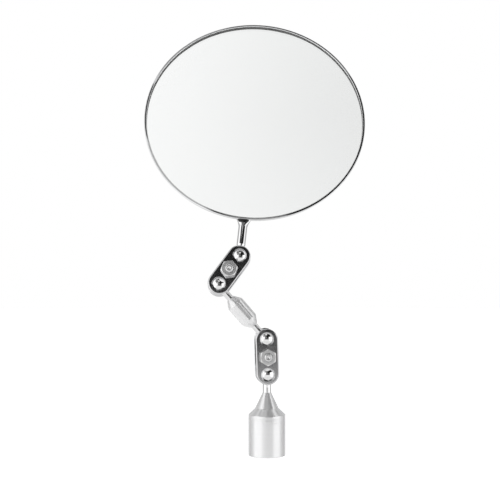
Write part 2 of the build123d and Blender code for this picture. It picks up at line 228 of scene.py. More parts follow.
class EffectGroups:
    """Shader effects that several finishes share, each built once."""

    CLOUD_SCALE = 260.0
    CLOUD_RANGE = (0.42, 0.72)
    SCRATCH_SCALE = 230.0
    SCRATCH_RANGE = (0.66, 0.72)
    SCRATCH_ROUGHNESS = 0.05
    SCRATCH_LAYS = ((0.5, 26.0), (1.7, 34.0), (2.6, 22.0))
    COARSE_RINGS = 0.12
    GRAIN_RANGE = (0.3, 0.7)

    def __init__(self) -> None:
        """Starts with no group built."""
        self._built: dict[str, bpy.types.NodeTree] = {}

    def _start(
        self, name: str, inputs: dict[str, float], outputs: Sequence[str]
    ) -> tuple[Graph, dict, dict]:
        """Starts a group with a vector input, number inputs and number outputs.

        Args:
            name: The group's name.
            inputs: The number inputs and their usual values.
            outputs: The names of the outputs.

        Returns:
            The group's graph, its input sockets by name, and its output sockets by name.
        """
        tree = bpy.data.node_groups.new(name, "ShaderNodeTree")
        tree.interface.new_socket("Vector", in_out="INPUT", socket_type="NodeSocketVector")
        for label, value in inputs.items():
            socket = tree.interface.new_socket(label, in_out="INPUT", socket_type="NodeSocketFloat")
            socket.default_value = value
        for label in outputs:
            tree.interface.new_socket(label, in_out="OUTPUT", socket_type="NodeSocketFloat")
        graph = Graph(tree)
        entry, leave = graph.add("NodeGroupInput"), graph.add("NodeGroupOutput")
        self._built[name] = tree
        return graph, dict(entry.outputs.items()), dict(leave.inputs.items())

    def handling_marks(self) -> bpy.types.NodeTree:
        """Returns the group for hairline scratches and cloudy finger marks.

        Returns:
            A group with the outputs Roughness and Height.
        """
        name = "handling_marks"
        if name in self._built:
            return self._built[name]
        graph, given, result = self._start(
            name, {"Roughness": 0.05, "Cloud": 0.04, "Scratch": 1.0}, ("Roughness", "Height")
        )
        cloud = graph.add(
            "ShaderNodeTexNoise", {"Vector": given["Vector"]}, {"Scale": self.CLOUD_SCALE, "Detail": 4.0}
        )
        patch = graph.step(cloud.outputs["Fac"], *self.CLOUD_RANGE)
        heights = []
        for turn, stretch in self.SCRATCH_LAYS:
            lay = graph.add(
                "ShaderNodeMapping",
                {"Vector": given["Vector"]},
                {"Rotation": (turn, turn * 0.6, turn * 1.3), "Scale": (1.0, stretch, 1.0)},
            )
            sizes = {"Scale": self.SCRATCH_SCALE, "Detail": 2.0}
            line = graph.add("ShaderNodeTexNoise", {"Vector": lay.outputs[0]}, sizes)
            heights.append(graph.step(line.outputs["Fac"], *self.SCRATCH_RANGE))
        scratches = graph.math("MAXIMUM", graph.math("MAXIMUM", heights[0], heights[1]), heights[2])
        scratches = graph.math("MULTIPLY", scratches, given["Scratch"])
        clouded = graph.math("MULTIPLY_ADD", patch, given["Cloud"], given["Roughness"])
        rough = graph.math("MULTIPLY_ADD", scratches, self.SCRATCH_ROUGHNESS, clouded)
        graph.tree.links.new(rough, result["Roughness"])
        graph.tree.links.new(graph.math("MULTIPLY", scratches, -1.0), result["Height"])
        return graph.tree

    def turning_rings(self) -> bpy.types.NodeTree:
        """Returns the group for the fine rings that a lathe tool leaves round an axis.

        Returns:
            A group with the outputs Tone and Height.
        """
        name = "turning_rings"
        if name in self._built:
            return self._built[name]
        graph, given, result = self._start(name, {"Rings": 9000.0, "Radial": 0.0}, ("Tone", "Height"))
        parts = graph.add("ShaderNodeSeparateXYZ", {"Vector": given["Vector"]})
        squares = [graph.math("MULTIPLY", parts.outputs[side], parts.outputs[side]) for side in "XY"]
        radius = graph.math("SQRT", graph.math("ADD", *squares))
        along = graph.math("MULTIPLY_ADD", radius, given["Radial"], parts.outputs["Z"])
        travel = graph.math("MULTIPLY", along, given["Rings"])
        slow = graph.math("MULTIPLY", travel, self.COARSE_RINGS)
        fine, coarse = (
            graph.add(
                "ShaderNodeTexNoise", {"W": place}, {"Scale": 1.0, "Detail": detail}, noise_dimensions="1D"
            ).outputs["Fac"]
            for place, detail in ((travel, 3.0), (slow, 1.0))
        )
        coarse_share = 0.5
        both = graph.math("MULTIPLY_ADD", coarse, coarse_share, fine)
        graph.tree.links.new(graph.math("MULTIPLY", both, 0.667), result["Tone"])
        graph.tree.links.new(both, result["Height"])
        return graph.tree

    def fine_grain(self) -> bpy.types.NodeTree:
        """Returns the group for the even grain of tumbled or rolled metal.

        Returns:
            A group with the outputs Tone and Height.
        """
        name = "fine_grain"
        if name in self._built:
            return self._built[name]
        graph, given, result = self._start(name, {"Grain": 7000.0, "Streak": 1.0}, ("Tone", "Height"))
        scale = graph.add("ShaderNodeCombineXYZ", {"X": given["Streak"]}, {"Y": 1.0, "Z": 1.0})
        lay = graph.add(
            "ShaderNodeVectorMath", {0: given["Vector"], 1: scale.outputs[0]}, operation="MULTIPLY"
        )
        grain = graph.add(
            "ShaderNodeTexNoise", {"Vector": lay.outputs[0], "Scale": given["Grain"]}, {"Detail": 3.0}
        )
        graph.tree.links.new(grain.outputs["Fac"], result["Height"])
        graph.tree.links.new(graph.step(grain.outputs["Fac"], *self.GRAIN_RANGE), result["Tone"])
        return graph.tree


# ---------------------------------------------------------------------------------------------
# Finishes
# ---------------------------------------------------------------------------------------------


@dataclass(frozen=True)
class Finish(ABC):
    """A surface finish. Its slot is the record's material slot that it stands for."""

    slot: str
    colour: Colour
    roughness: float

    def material(self, effects: EffectGroups, seat: Seat, name: str) -> bpy.types.Material:
        """Builds the finish for one piece, lined up with the piece's seat.

        Args:
            effects: The shared shader effects.
            seat: The frame that the finish's pattern is laid along.
            name: The piece's name.

        Returns:
            The material.
        """
        made = bpy.data.materials.new(f"{self.slot}.{name}")
        made.use_nodes = True
        graph = Graph(made.node_tree)
        shader = made.node_tree.nodes["Principled BSDF"]
        shader.inputs["Base Color"].default_value = (*self.colour, 1.0)
        shader.inputs["Roughness"].default_value = self.roughness
        turn = seat.turn().to_euler()
        coordinates = graph.add("ShaderNodeTexCoord")
        lay = graph.add(
            "ShaderNodeMapping",
            {"Vector": coordinates.outputs["Object"]},
            {"Location": seat.origin, "Rotation": (turn.x, turn.y, turn.z)},
            vector_type="TEXTURE",
        )
        self.dress(graph, shader, lay.outputs[0], effects)
        return made

    @abstractmethod
    def dress(
        self, graph: Graph, shader: bpy.types.Node, lay: bpy.types.NodeSocket, effects: EffectGroups
    ) -> None:
        """Adds the finish's own nodes.

        Args:
            graph: The material's graph.
            shader: The material's Principled shader.
            lay: The piece's own coordinates, in metres.
            effects: The shared shader effects.
        """

    @staticmethod
    def place_effect(
        graph: Graph, effect: bpy.types.NodeTree, lay: bpy.types.NodeSocket, values: dict[str, float]
    ) -> bpy.types.Node:
        """Places a shared effect in the material.

        Args:
            graph: The material's graph.
            effect: The effect's group.
            lay: The piece's own coordinates, in metres.
            values: The group's inputs, by name.

        Returns:
            The effect's node.
        """
        node = graph.add("ShaderNodeGroup", node_tree=effect)
        graph.tree.links.new(lay, node.inputs["Vector"])
        for label, value in values.items():
            node.inputs[label].default_value = value
        return node

    def shade_colour(
        self, graph: Graph, shader: bpy.types.Node, factor: bpy.types.NodeSocket, low: float, high: float
    ) -> None:
        """Varies the base colour between two shades of the finish's own.

        Args:
            graph: The material's graph.
            shader: The material's Principled shader.
            factor: What picks the shade, from 0 to 1.
            low: The share of the colour at 0.
            high: The share of the colour at 1.
        """
        tone = graph.add("ShaderNodeMix", {"Factor": factor}, data_type="RGBA")
        for socket, share in ((COLOUR_A, low), (COLOUR_B, high)):
            tone.inputs[socket].default_value = (*(part * share for part in self.colour), 1.0)
        graph.tree.links.new(tone.outputs[COLOUR_RESULT], shader.inputs["Base Color"])

    @staticmethod
    def raise_surface(
        graph: Graph, shader: bpy.types.Node, height: bpy.types.NodeSocket, strength: float, distance: float
    ) -> None:
        """Feeds a height to the shader's normal.

        Args:
            graph: The material's graph.
            shader: The material's Principled shader.
            height: The height's socket.
            strength: The bump's strength.
            distance: The height of a full step, in metres.
        """
        bump = graph.add("ShaderNodeBump", {"Height": height}, {"Strength": strength, "Distance": distance})
        graph.tree.links.new(bump.outputs["Normal"], shader.inputs["Normal"])


@dataclass(frozen=True)
class BrightPlate(Finish):
    """Bright chrome plate or polished steel, with faint finger marks and hairlines."""

    cloud: float = 0.03
    scratch: float = 1.0
    scratch_depth: float = 0.000002

    def dress(
        self, graph: Graph, shader: bpy.types.Node, lay: bpy.types.NodeSocket, effects: EffectGroups
    ) -> None:
        """Adds the marks. See Finish.dress."""
        shader.inputs["Metallic"].default_value = 1.0
        values = {"Roughness": self.roughness, "Cloud": self.cloud, "Scratch": self.scratch}
        marks = self.place_effect(graph, effects.handling_marks(), lay, values)
        graph.tree.links.new(marks.outputs["Roughness"], shader.inputs["Roughness"])
        self.raise_surface(graph, shader, marks.outputs["Height"], 0.4, self.scratch_depth)


@dataclass(frozen=True)
class GrainedPlate(Finish):
    """Pressed and tumbled plate, bright but with an even fine grain."""

    metal: float = 1.0
    grain: float = 7000.0
    streak: float = 1.0
    depth: float = 0.00002
    shade: float = 0.25

    def dress(
        self, graph: Graph, shader: bpy.types.Node, lay: bpy.types.NodeSocket, effects: EffectGroups
    ) -> None:
        """Adds the grain and the marks. See Finish.dress."""
        shader.inputs["Metallic"].default_value = self.metal
        values = {"Grain": self.grain, "Streak": self.streak}
        grain = self.place_effect(graph, effects.fine_grain(), lay, values)
        marks = self.place_effect(graph, effects.handling_marks(), lay, {"Roughness": self.roughness})
        self.shade_colour(graph, shader, grain.outputs["Tone"], 1.0 - self.shade, 1.0)
        graph.tree.links.new(marks.outputs["Roughness"], shader.inputs["Roughness"])
        self.raise_surface(graph, shader, grain.outputs["Height"], 0.35, self.depth)


@dataclass(frozen=True)
class TurnedMetal(Finish):
    """Satin metal from a lathe, milky from its anodising, with fine rings round its axis."""

    metal: float = 0.5
    rings: float = 9000.0
    radial: float = 0.7
    depth: float = 0.00001
    shade: float = 0.08
    cloud: float = 0.05
    scratch: float = 0.3

    def dress(
        self, graph: Graph, shader: bpy.types.Node, lay: bpy.types.NodeSocket, effects: EffectGroups
    ) -> None:
        """Adds the rings and the marks. See Finish.dress."""
        shader.inputs["Metallic"].default_value = self.metal
        values = {"Rings": self.rings, "Radial": self.radial}
        rings = self.place_effect(graph, effects.turning_rings(), lay, values)
        values = {"Roughness": self.roughness, "Cloud": self.cloud, "Scratch": self.scratch}
        marks = self.place_effect(graph, effects.handling_marks(), lay, values)
        self.shade_colour(graph, shader, rings.outputs["Tone"], 1.0 - self.shade, 1.0)
        graph.tree.links.new(marks.outputs["Roughness"], shader.inputs["Roughness"])
        height = graph.math("MULTIPLY_ADD", marks.outputs["Height"], 0.3, rings.outputs["Height"])
        self.raise_surface(graph, shader, height, 0.5, self.depth)


@dataclass(frozen=True)
class ClearGlass(Finish):
    """Clear float glass, with a very faint waviness."""

    index: float = 1.52
    wave_scale: float = 22.0
    wave_depth: float = 0.00002

    def dress(
        self, graph: Graph, shader: bpy.types.Node, lay: bpy.types.NodeSocket, effects: EffectGroups
    ) -> None:
        """Adds the waviness. See Finish.dress."""
        shader.inputs["Transmission Weight"].default_value = 1.0
        shader.inputs["IOR"].default_value = self.index
        wave = graph.add("ShaderNodeTexNoise", {"Vector": lay}, {"Scale": self.wave_scale, "Detail": 0.0})
        self.raise_surface(graph, shader, wave.outputs["Fac"], 0.05, self.wave_depth)


@dataclass(frozen=True)
class SilverLayer(Finish):
    """The reflecting layer behind the glass, a little duller in soft patches."""

    patch_scale: float = 30.0
    dulling: float = 0.012

    def dress(
        self, graph: Graph, shader: bpy.types.Node, lay: bpy.types.NodeSocket, effects: EffectGroups
    ) -> None:
        """Adds the patches. See Finish.dress."""
        shader.inputs["Metallic"].default_value = 1.0
        patch = graph.add("ShaderNodeTexNoise", {"Vector": lay}, {"Scale": self.patch_scale, "Detail": 3.0})
        rough = graph.step(patch.outputs["Fac"], 0.35, 0.75, self.roughness, self.roughness + self.dulling)
        graph.tree.links.new(rough, shader.inputs["Roughness"])


@dataclass(frozen=True)
class PressedCard(Finish):
    """Grey card with short fibres."""

    fibre_scale: float = 2600.0
    shade: float = 0.3
    depth: float = 0.00005

    def dress(
        self, graph: Graph, shader: bpy.types.Node, lay: bpy.types.NodeSocket, effects: EffectGroups
    ) -> None:
        """Adds the fibres. See Finish.dress."""
        fibre = graph.add("ShaderNodeTexNoise", {"Vector": lay}, {"Scale": self.fibre_scale, "Detail": 6.0})
        self.shade_colour(graph, shader, fibre.outputs["Fac"], 1.0 - self.shade, 1.0 + self.shade)
        self.raise_surface(graph, shader, fibre.outputs["Fac"], 0.4, self.depth)


class Finishes:
    """The finishes of this object."""

    RIM = BrightPlate("rim_chrome", (0.93, 0.935, 0.94), 0.05, cloud=0.02)
    NECK = BrightPlate("neck_chrome", (0.95, 0.95, 0.955), 0.045, cloud=0.02)
    BALL = BrightPlate("polished_ball", (0.95, 0.95, 0.95), 0.05, cloud=0.03)
    PLATE = GrainedPlate("clamp_plate", (0.86, 0.86, 0.87), 0.07, depth=0.000012)
    HARDWARE = GrainedPlate("screw_steel", (0.88, 0.88, 0.88), 0.28, metal=0.8, grain=5000.0, shade=0.12)
    WASHER = GrainedPlate("washer_steel", (0.42, 0.42, 0.43), 0.32, grain=4000.0)
    # The braze fillet is a real shape, but its near-black colour is painted shade and painted reflection of
    # the dark gap where the foot meets the rim.
    BRAZE_PAINTED_SHADE = GrainedPlate("neck_chrome", (0.07, 0.07, 0.07), 0.35, grain=2500.0, shade=0.5, depth=0.00006)
    ALUMINIUM = TurnedMetal("satin_aluminium", (0.96, 0.96, 0.965), 0.14)
    GLASS = ClearGlass("clear_glass", (0.985, 0.995, 0.99), 0.0)
    SILVER = SilverLayer("silvering", (0.945, 0.945, 0.945), 0.0)
    CARD = PressedCard("grey_card", (0.33, 0.31, 0.28), 0.9)
    PAINT = PressedCard("grey_card", (0.26, 0.26, 0.26), 0.6)
    SHEET = GrainedPlate("tinned_sheet", (0.66, 0.67, 0.68), 0.24, grain=900.0, streak=0.04, shade=0.14)


# ---------------------------------------------------------------------------------------------
# Outlines
# ---------------------------------------------------------------------------------------------


class Outline:
    """Half of a turned section, as points of radius and height in millimetres."""

    def __init__(self, *start: Point) -> None:
        """Starts the outline at one or more points."""
        self.points: list[Point] = list(start)

    def to(self, radius: float, height: float) -> "Outline":
        """Adds a corner, and returns the outline."""
        self.points.append((radius, height))
        return self

    def arc(self, centre: Point, radius: float, start: float, end: float, steps: int = 8) -> "Outline":
        """Adds an arc.

        Args:
            centre: The arc's centre.
            radius: The arc's radius.
            start: The angle where it starts, in degrees from the radius direction.
            end: The angle where it ends, in degrees.
            steps: How many pieces it is made of.

        Returns:
            The outline.
        """
        for index in range(steps + 1):
            angle = math.radians(start + (end - start) * index / steps)
            self.points.append((centre[0] + radius * math.cos(angle), centre[1] + radius * math.sin(angle)))
        return self


def rounded(corners: Sequence[Corner], steps: int = 5) -> Outline:
    """Makes an outline with a round at each corner.

    Args:
        corners: The corners, each a radius, a height and the size of its round.
        steps: How many pieces each round is made of.

    Returns:
        The outline.
    """
    outline = Outline()
    for index, (radius, height, size) in enumerate(corners):
        here = Vector((radius, height))
        if size == 0.0 or index in (0, len(corners) - 1):
            outline.to(*here)
            continue
        before = (Vector(corners[index - 1][:2]) - here).normalized() * size
        after = (Vector(corners[index + 1][:2]) - here).normalized() * size
        for step in range(steps + 1):
            share = step / steps
            point = here + before * (1 - share) ** 2 + after * share**2
            outline.to(point.x, point.y)
    return outline


# ---------------------------------------------------------------------------------------------
# Workshop: trees and shapes
# ---------------------------------------------------------------------------------------------


class Smoothing(Enum):
    """How sharp an edge must be, in degrees, to stay sharp in the shading."""

    SOFT = 60.0
    MACHINED = 32.0
    CRISP = 20.0


class Lathe:
    """A Geometry Nodes tree that spins an outline about an upright axis."""

    RAIL = 1.0
    WELD = 0.0004

    def __init__(self) -> None:
        """Builds the tree."""
        tree = bpy.data.node_groups.new("lathe", "GeometryNodeTree")
        self.tree = tree
        face = tree.interface
        face.new_socket("Outline", in_out="INPUT", socket_type="NodeSocketGeometry")
        self.steps = face.new_socket("Steps", in_out="INPUT", socket_type="NodeSocketInt").identifier
        self.finish = face.new_socket("Finish", in_out="INPUT", socket_type="NodeSocketMaterial").identifier
        face.new_socket("Piece", in_out="OUTPUT", socket_type="NodeSocketGeometry")
        graph = Graph(tree)
        given = graph.add("NodeGroupInput").outputs
        outline = graph.add("GeometryNodeMeshToCurve", {"Mesh": given["Outline"]})
        rail = graph.add(
            "GeometryNodeCurvePrimitiveCircle", {"Resolution": given["Steps"]}, {"Radius": self.RAIL}
        )
        spun = graph.add(
            "GeometryNodeCurveToMesh",
            {"Curve": rail.outputs["Curve"], "Profile Curve": outline.outputs["Curve"]},
        )
        joined = graph.add(
            "GeometryNodeMergeByDistance", {"Geometry": spun.outputs["Mesh"]}, {"Distance": self.WELD}
        )
        real = graph.add("GeometryNodeRealizeInstances", {"Geometry": joined.outputs["Geometry"]})
        dressed = graph.add(
            "GeometryNodeSetMaterial", {"Geometry": real.outputs["Geometry"], "Material": given["Finish"]}
        )
        graph.add("NodeGroupOutput", {"Piece": dressed.outputs["Geometry"]})

    def spin(
        self, name: str, outline: Outline, steps: int, finish: bpy.types.Material, closed: bool = False
    ) -> bpy.types.Mesh:
        """Spins an outline.

        Args:
            name: The name of the result.
            outline: The outline, in millimetres.
            steps: How many sides the result has round its axis.
            finish: The material.
            closed: Whether the outline's last point joins its first.

        Returns:
            The spun mesh, in millimetres, upright.
        """
        # The rail sets the outline off by its radius and turns it over.
        points = [(radius - self.RAIL, -height, 0.0) for radius, height in outline.points]
        edges = [(index, index + 1) for index in range(len(points) - 1)]
        if closed:
            edges.append((len(points) - 1, 0))
        line = bpy.data.meshes.new(f"{name}.outline")
        line.from_pydata(points, edges, [])
        return run_tree(self.tree, name, line, {self.steps: steps, self.finish: finish})


class ThreadCoil:
    """A Geometry Nodes tree that winds one ridge of a screw thread up an axis."""

    SIDES = 6
    POINTS_PER_TURN = 40

    def __init__(self) -> None:
        """Builds the tree."""
        tree = bpy.data.node_groups.new("thread_coil", "GeometryNodeTree")
        self.tree = tree
        face = tree.interface
        face.new_socket("Start", in_out="INPUT", socket_type="NodeSocketGeometry")
        self.sizes = {
            label: face.new_socket(label, in_out="INPUT", socket_type="NodeSocketFloat").identifier
            for label in ("Radius", "Ridge", "Turns", "Height")
        }
        self.resolution = face.new_socket("Points", in_out="INPUT", socket_type="NodeSocketInt").identifier
        self.finish = face.new_socket("Finish", in_out="INPUT", socket_type="NodeSocketMaterial").identifier
        face.new_socket("Ridge", in_out="OUTPUT", socket_type="NodeSocketGeometry")
        graph = Graph(tree)
        given = graph.add("NodeGroupInput").outputs
        path = graph.add("GeometryNodeCurveSpiral", {
            "Resolution": given["Points"],
            "Rotations": given["Turns"],
            "Start Radius": given["Radius"],
            "End Radius": given["Radius"],
            "Height": given["Height"],
        })
        section = graph.add(
            "GeometryNodeCurvePrimitiveCircle", {"Radius": given["Ridge"]}, {"Resolution": self.SIDES}
        )
        wound = graph.add(
            "GeometryNodeCurveToMesh",
            {"Curve": path.outputs["Curve"], "Profile Curve": section.outputs["Curve"]},
            {"Fill Caps": True},
        )
        real = graph.add("GeometryNodeRealizeInstances", {"Geometry": wound.outputs["Mesh"]})
        dressed = graph.add(
            "GeometryNodeSetMaterial", {"Geometry": real.outputs["Geometry"], "Material": given["Finish"]}
        )
        graph.add("NodeGroupOutput", {"Ridge": dressed.outputs["Geometry"]})

    def wind(
        self,
        name: str,
        radius: float,
        ridge: float,
        pitch: float,
        height: float,
        finish: bpy.types.Material,
    ) -> bpy.types.Mesh:
        """Winds a ridge.

        Args:
            name: The name of the result.
            radius: The radius of the ridge's middle line.
            ridge: The radius of the ridge's section.
            pitch: The height of one turn.
            height: The height of the whole thread.
            finish: The material.

        Returns:
            The ridge, in millimetres, from height zero up.
        """
        turns = height / pitch
        values = {
            self.sizes["Radius"]: radius,
            self.sizes["Ridge"]: ridge,
            self.sizes["Turns"]: turns,
            self.sizes["Height"]: height,
            self.resolution: round(self.POINTS_PER_TURN * turns),
            self.finish: finish,
        }
        return run_tree(self.tree, name, bpy.data.meshes.new(f"{name}.start"), values)


def run_tree(tree: bpy.types.NodeTree, name: str, start: bpy.types.Mesh, values: dict) -> bpy.types.Mesh:
    """Runs a Geometry Nodes tree once and keeps its result as a plain mesh.

    Args:
        tree: The tree.
        name: The name of the result.
        start: The mesh that the tree starts from, which isn't kept.
        values: The tree's inputs, by socket identifier.

    Returns:
        The result.
    """
    carrier = bpy.data.objects.new(f"{name}.carrier", start)
    bpy.context.scene.collection.objects.link(carrier)
    modifier = carrier.modifiers.new("tree", "NODES")
    modifier.node_group = tree
    for socket, value in values.items():
        modifier[socket] = value
    graph = bpy.context.evaluated_depsgraph_get()
    result = bpy.data.meshes.new_from_object(carrier.evaluated_get(graph))
    result.name = name
    carrier.modifiers.remove(modifier)
    bpy.data.objects.remove(carrier)
    bpy.data.meshes.remove(start)
    return result


class Workshop:
    """Makes pieces, dresses them and hangs them on the frame."""

    WELD = 2e-7

    def __init__(self, frame: Frame) -> None:
        """Keeps the frame and builds the shared trees and effects."""
        self.frame = frame
        self.effects = EffectGroups()
        self.lathe = Lathe()
        self.coil = ThreadCoil()
        self.count = 0

    def hang(
        self,
        name: str,
        mesh: bpy.types.Mesh,
        seat: Seat,
        body: str,
        material: bpy.types.Material,
        replaces: Iterable[str] = (),
        smoothing: Smoothing = Smoothing.MACHINED,
    ) -> bpy.types.Object:
        """Puts a mesh in its place, closes and shades it, and rides it on a body.

        Args:
            name: The piece's name.
            mesh: The mesh, in the seat's millimetres.
            seat: The piece's seat.
            body: The body that it rides on.
            material: The finish's material for this piece.
            replaces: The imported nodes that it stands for.
            smoothing: How sharp an edge stays sharp.

        Returns:
            The piece.
        """
        mesh.transform(seat.place())
        shell = bmesh.new()
        shell.from_mesh(mesh)
        bmesh.ops.remove_doubles(shell, verts=shell.verts, dist=self.WELD)
        bmesh.ops.recalc_face_normals(shell, faces=shell.faces)
        shell.to_mesh(mesh)
        shell.free()
        if not mesh.materials:
            mesh.materials.append(material)
        mesh.shade_smooth()
        mesh.set_sharp_from_angle(angle=math.radians(smoothing.value))
        mark_flats(mesh, seat.axis)
        piece = bpy.data.objects.new(name, mesh)
        bpy.context.scene.collection.objects.link(piece)
        weigh_normals(piece)
        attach(piece, body)
        nodes = tuple(replaces)
        if nodes:
            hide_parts(*nodes)
        self.count += 1
        LOG.info("%s: %d faces on %s", name, len(piece.data.polygons), body)
        return piece

    def turned(
        self,
        name: str,
        outline: Outline,
        seat: Seat,
        body: str,
        finish: Finish,
        replaces: Iterable[str] = (),
        steps: int = 96,
        closed: bool = False,
        smoothing: Smoothing = Smoothing.MACHINED,
    ) -> bpy.types.Object:
        """Makes a turned piece. See hang for the arguments that it shares.

        Args:
            name: The piece's name.
            outline: The outline that is spun.
            seat: The piece's seat.
            body: The body that it rides on.
            finish: The piece's finish.
            replaces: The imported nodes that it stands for.
            steps: How many sides it has.
            closed: Whether the outline's last point joins its first.
            smoothing: How sharp an edge stays sharp.

        Returns:
            The piece.
        """
        material = finish.material(self.effects, seat, name)
        mesh = self.lathe.spin(name, outline, steps, material, closed)
        return self.hang(name, mesh, seat, body, material, replaces, smoothing)

    def fitted(
        self,
        node: str,
        ending: str,
        mesh: bpy.types.Mesh,
        seat: Seat,
        body: str,
        finish: Finish,
        smoothing: Smoothing = Smoothing.MACHINED,
    ) -> bpy.types.Object:
        """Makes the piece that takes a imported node's place, from a ready mesh.

        Args:
            node: The node's name.
            ending: What the piece's name adds to the node's.
            mesh: The mesh, in the seat's millimetres.
            seat: The piece's seat.
            body: The body that it rides on.
            finish: The piece's finish.
            smoothing: How sharp an edge stays sharp.

        Returns:
            The piece.
        """
        material = finish.material(self.effects, seat, node)
        return self.hang(f"{node}_{ending}", mesh, seat, body, material, (node,), smoothing)

    def thread(
        self,
        name: str,
        seat: Seat,
        body: str,
        finish: Finish,
        radius: float,
        ridge: float,
        pitch: float,
        height: float,
    ) -> bpy.types.Object:
        """Makes a screw thread's ridge.

        Args:
            name: The piece's name.
            seat: The seat whose axis it winds up, from its origin.
            body: The body that it rides on.
            finish: The piece's finish.
            radius: The radius of the ridge's middle line.
            ridge: The radius of the ridge's section.
            pitch: The height of one turn.
            height: The height of the whole thread.

        Returns:
            The piece.
        """
        material = finish.material(self.effects, seat, name)
        mesh = self.coil.wind(name, radius, ridge, pitch, height, material)
        return self.hang(name, mesh, seat, body, material, (), Smoothing.SOFT)

    def redress(self, node: str, finish: Finish, seat: Seat) -> None:
        """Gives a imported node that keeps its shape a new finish.

        Args:
            node: The node's name.
            finish: The finish.
            seat: The frame that the finish's pattern is laid along.
        """
        part = self.frame.nodes[node]
        part.data.materials.clear()
        part.data.materials.append(finish.material(self.effects, seat, node))
        LOG.info("%s: packed shape, finish %s", node, finish.slot)


def settle(shell: bmesh.types.BMesh, name: str) -> bpy.types.Mesh:
    """Turns a mesh under way into a finished one, and frees it.

    Args:
        shell: The mesh under way.
        name: The finished mesh's name.

    Returns:
        The finished mesh.
    """
    mesh = bpy.data.meshes.new(name)
    shell.to_mesh(mesh)
    shell.free()
    return mesh


def loft(name: str, rings: Sequence[Sequence[Iterable[float]]], closed: bool = False) -> bpy.types.Mesh:
    """Joins rings of points into one shell.

    Args:
        name: The mesh's name.
        rings: The rings, in order, each of as many points.
        closed: Whether the last ring joins the first. If not, both end rings are capped.

    Returns:
        The shell.
    """
    shell = bmesh.new()
    loops = [[shell.verts.new(point) for point in ring] for ring in rings]
    for here, after in zip(loops, loops[1:] + loops[:1] if closed else loops[1:]):
        for index in range(len(here)):
            side = (index + 1) % len(here)
            shell.faces.new((here[index], here[side], after[side], after[index]))
    if not closed:
        shell.faces.new(loops[0])
        shell.faces.new(loops[-1])
    return settle(shell, name)


def mark_flats(mesh: bpy.types.Mesh, axis: Vector) -> None:
    """Makes an edge sharp where a flat square to an axis meets anything else.

    Args:
        mesh: The mesh.
        axis: The axis.
    """
    square = 0.99999
    shell = bmesh.new()
    shell.from_mesh(mesh)
    for edge in shell.edges:
        if len(edge.link_faces) == 2:
            first, second = (abs(face.normal.dot(axis)) > square for face in edge.link_faces)
            if first != second:
                edge.smooth = False
    shell.to_mesh(mesh)
    shell.free()


def weigh_normals(piece: bpy.types.Object) -> None:
    """Turns a piece's shading normals towards its large faces, so that flats look flat."""
    modifier = piece.modifiers.new("weigh", "WEIGHTED_NORMAL")
    modifier.keep_sharp = True
    graph = bpy.context.evaluated_depsgraph_get()
    weighed = bpy.data.meshes.new_from_object(piece.evaluated_get(graph))
    piece.modifiers.remove(modifier)
    plain, piece.data = piece.data, weighed
    bpy.data.meshes.remove(plain)


def carve(mesh: bpy.types.Mesh, cutter: bpy.types.Mesh) -> bpy.types.Mesh:
    """Cuts one closed mesh out of another.

    Args:
        mesh: The mesh that is cut.
        cutter: The mesh that is taken away.

    Returns:
        The mesh that is left.
    """
    scene = bpy.context.scene.collection.objects
    stock, tool = bpy.data.objects.new("stock", mesh), bpy.data.objects.new("tool", cutter)
    for item in (stock, tool):
        scene.link(item)
    modifier = stock.modifiers.new("carve", "BOOLEAN")
    modifier.object = tool
    modifier.operation = "DIFFERENCE"
    modifier.solver = "EXACT"
    graph = bpy.context.evaluated_depsgraph_get()
    result = bpy.data.meshes.new_from_object(stock.evaluated_get(graph))
    for item in (stock, tool):
        bpy.data.objects.remove(item)
    return result


# ---------------------------------------------------------------------------------------------
# Ball and neck
# ---------------------------------------------------------------------------------------------


@dataclass(frozen=True)
class BallEnd:
    """A steel ball and the neck that stands on it."""

    ball_radius: float = 3.5
    gap: float = 0.02
    collar: float = 0.28
    collar_rise: float = 0.16

    def make_ball(self, shop: Workshop, name: str, seat: Seat, body: str) -> None:
        """Makes the ball.

        Args:
            shop: The workshop.
            name: The ball's node, whose place it takes.
            seat: The ball's centre, with the axis of its neck.
            body: The body that it rides on.
        """
        outline = Outline().arc((0.0, 0.0), self.ball_radius, 90.0, -90.0, 48)
        shop.turned(
            f"{name}_polished", outline, seat, body, Finishes.BALL, (name,), smoothing=Smoothing.SOFT
        )

    def neck_outline(self, radius: float, rest: Sequence[Point]) -> Outline:
        """Draws a neck whose end is cupped on the ball, with a small brazed collar there.

        Args:
            radius: The neck's radius at the ball.
            rest: The points after the collar, from the neck's side to its axis.

        Returns:
            The outline.
        """
        cup = self.ball_radius + self.gap
        edge = radius + self.collar
        seat_angle = math.degrees(math.acos(edge / cup))
        outline = Outline().arc((0.0, 0.0), cup, 90.0, seat_angle, 8)
        foot = math.sqrt(cup**2 - edge**2)
        outline.arc((edge, foot + self.collar + self.collar_rise), self.collar, -100.0, -180.0, 6)
        for point in rest:
            outline.to(*point)
        return outline


# ---------------------------------------------------------------------------------------------
# Clamp
# ---------------------------------------------------------------------------------------------


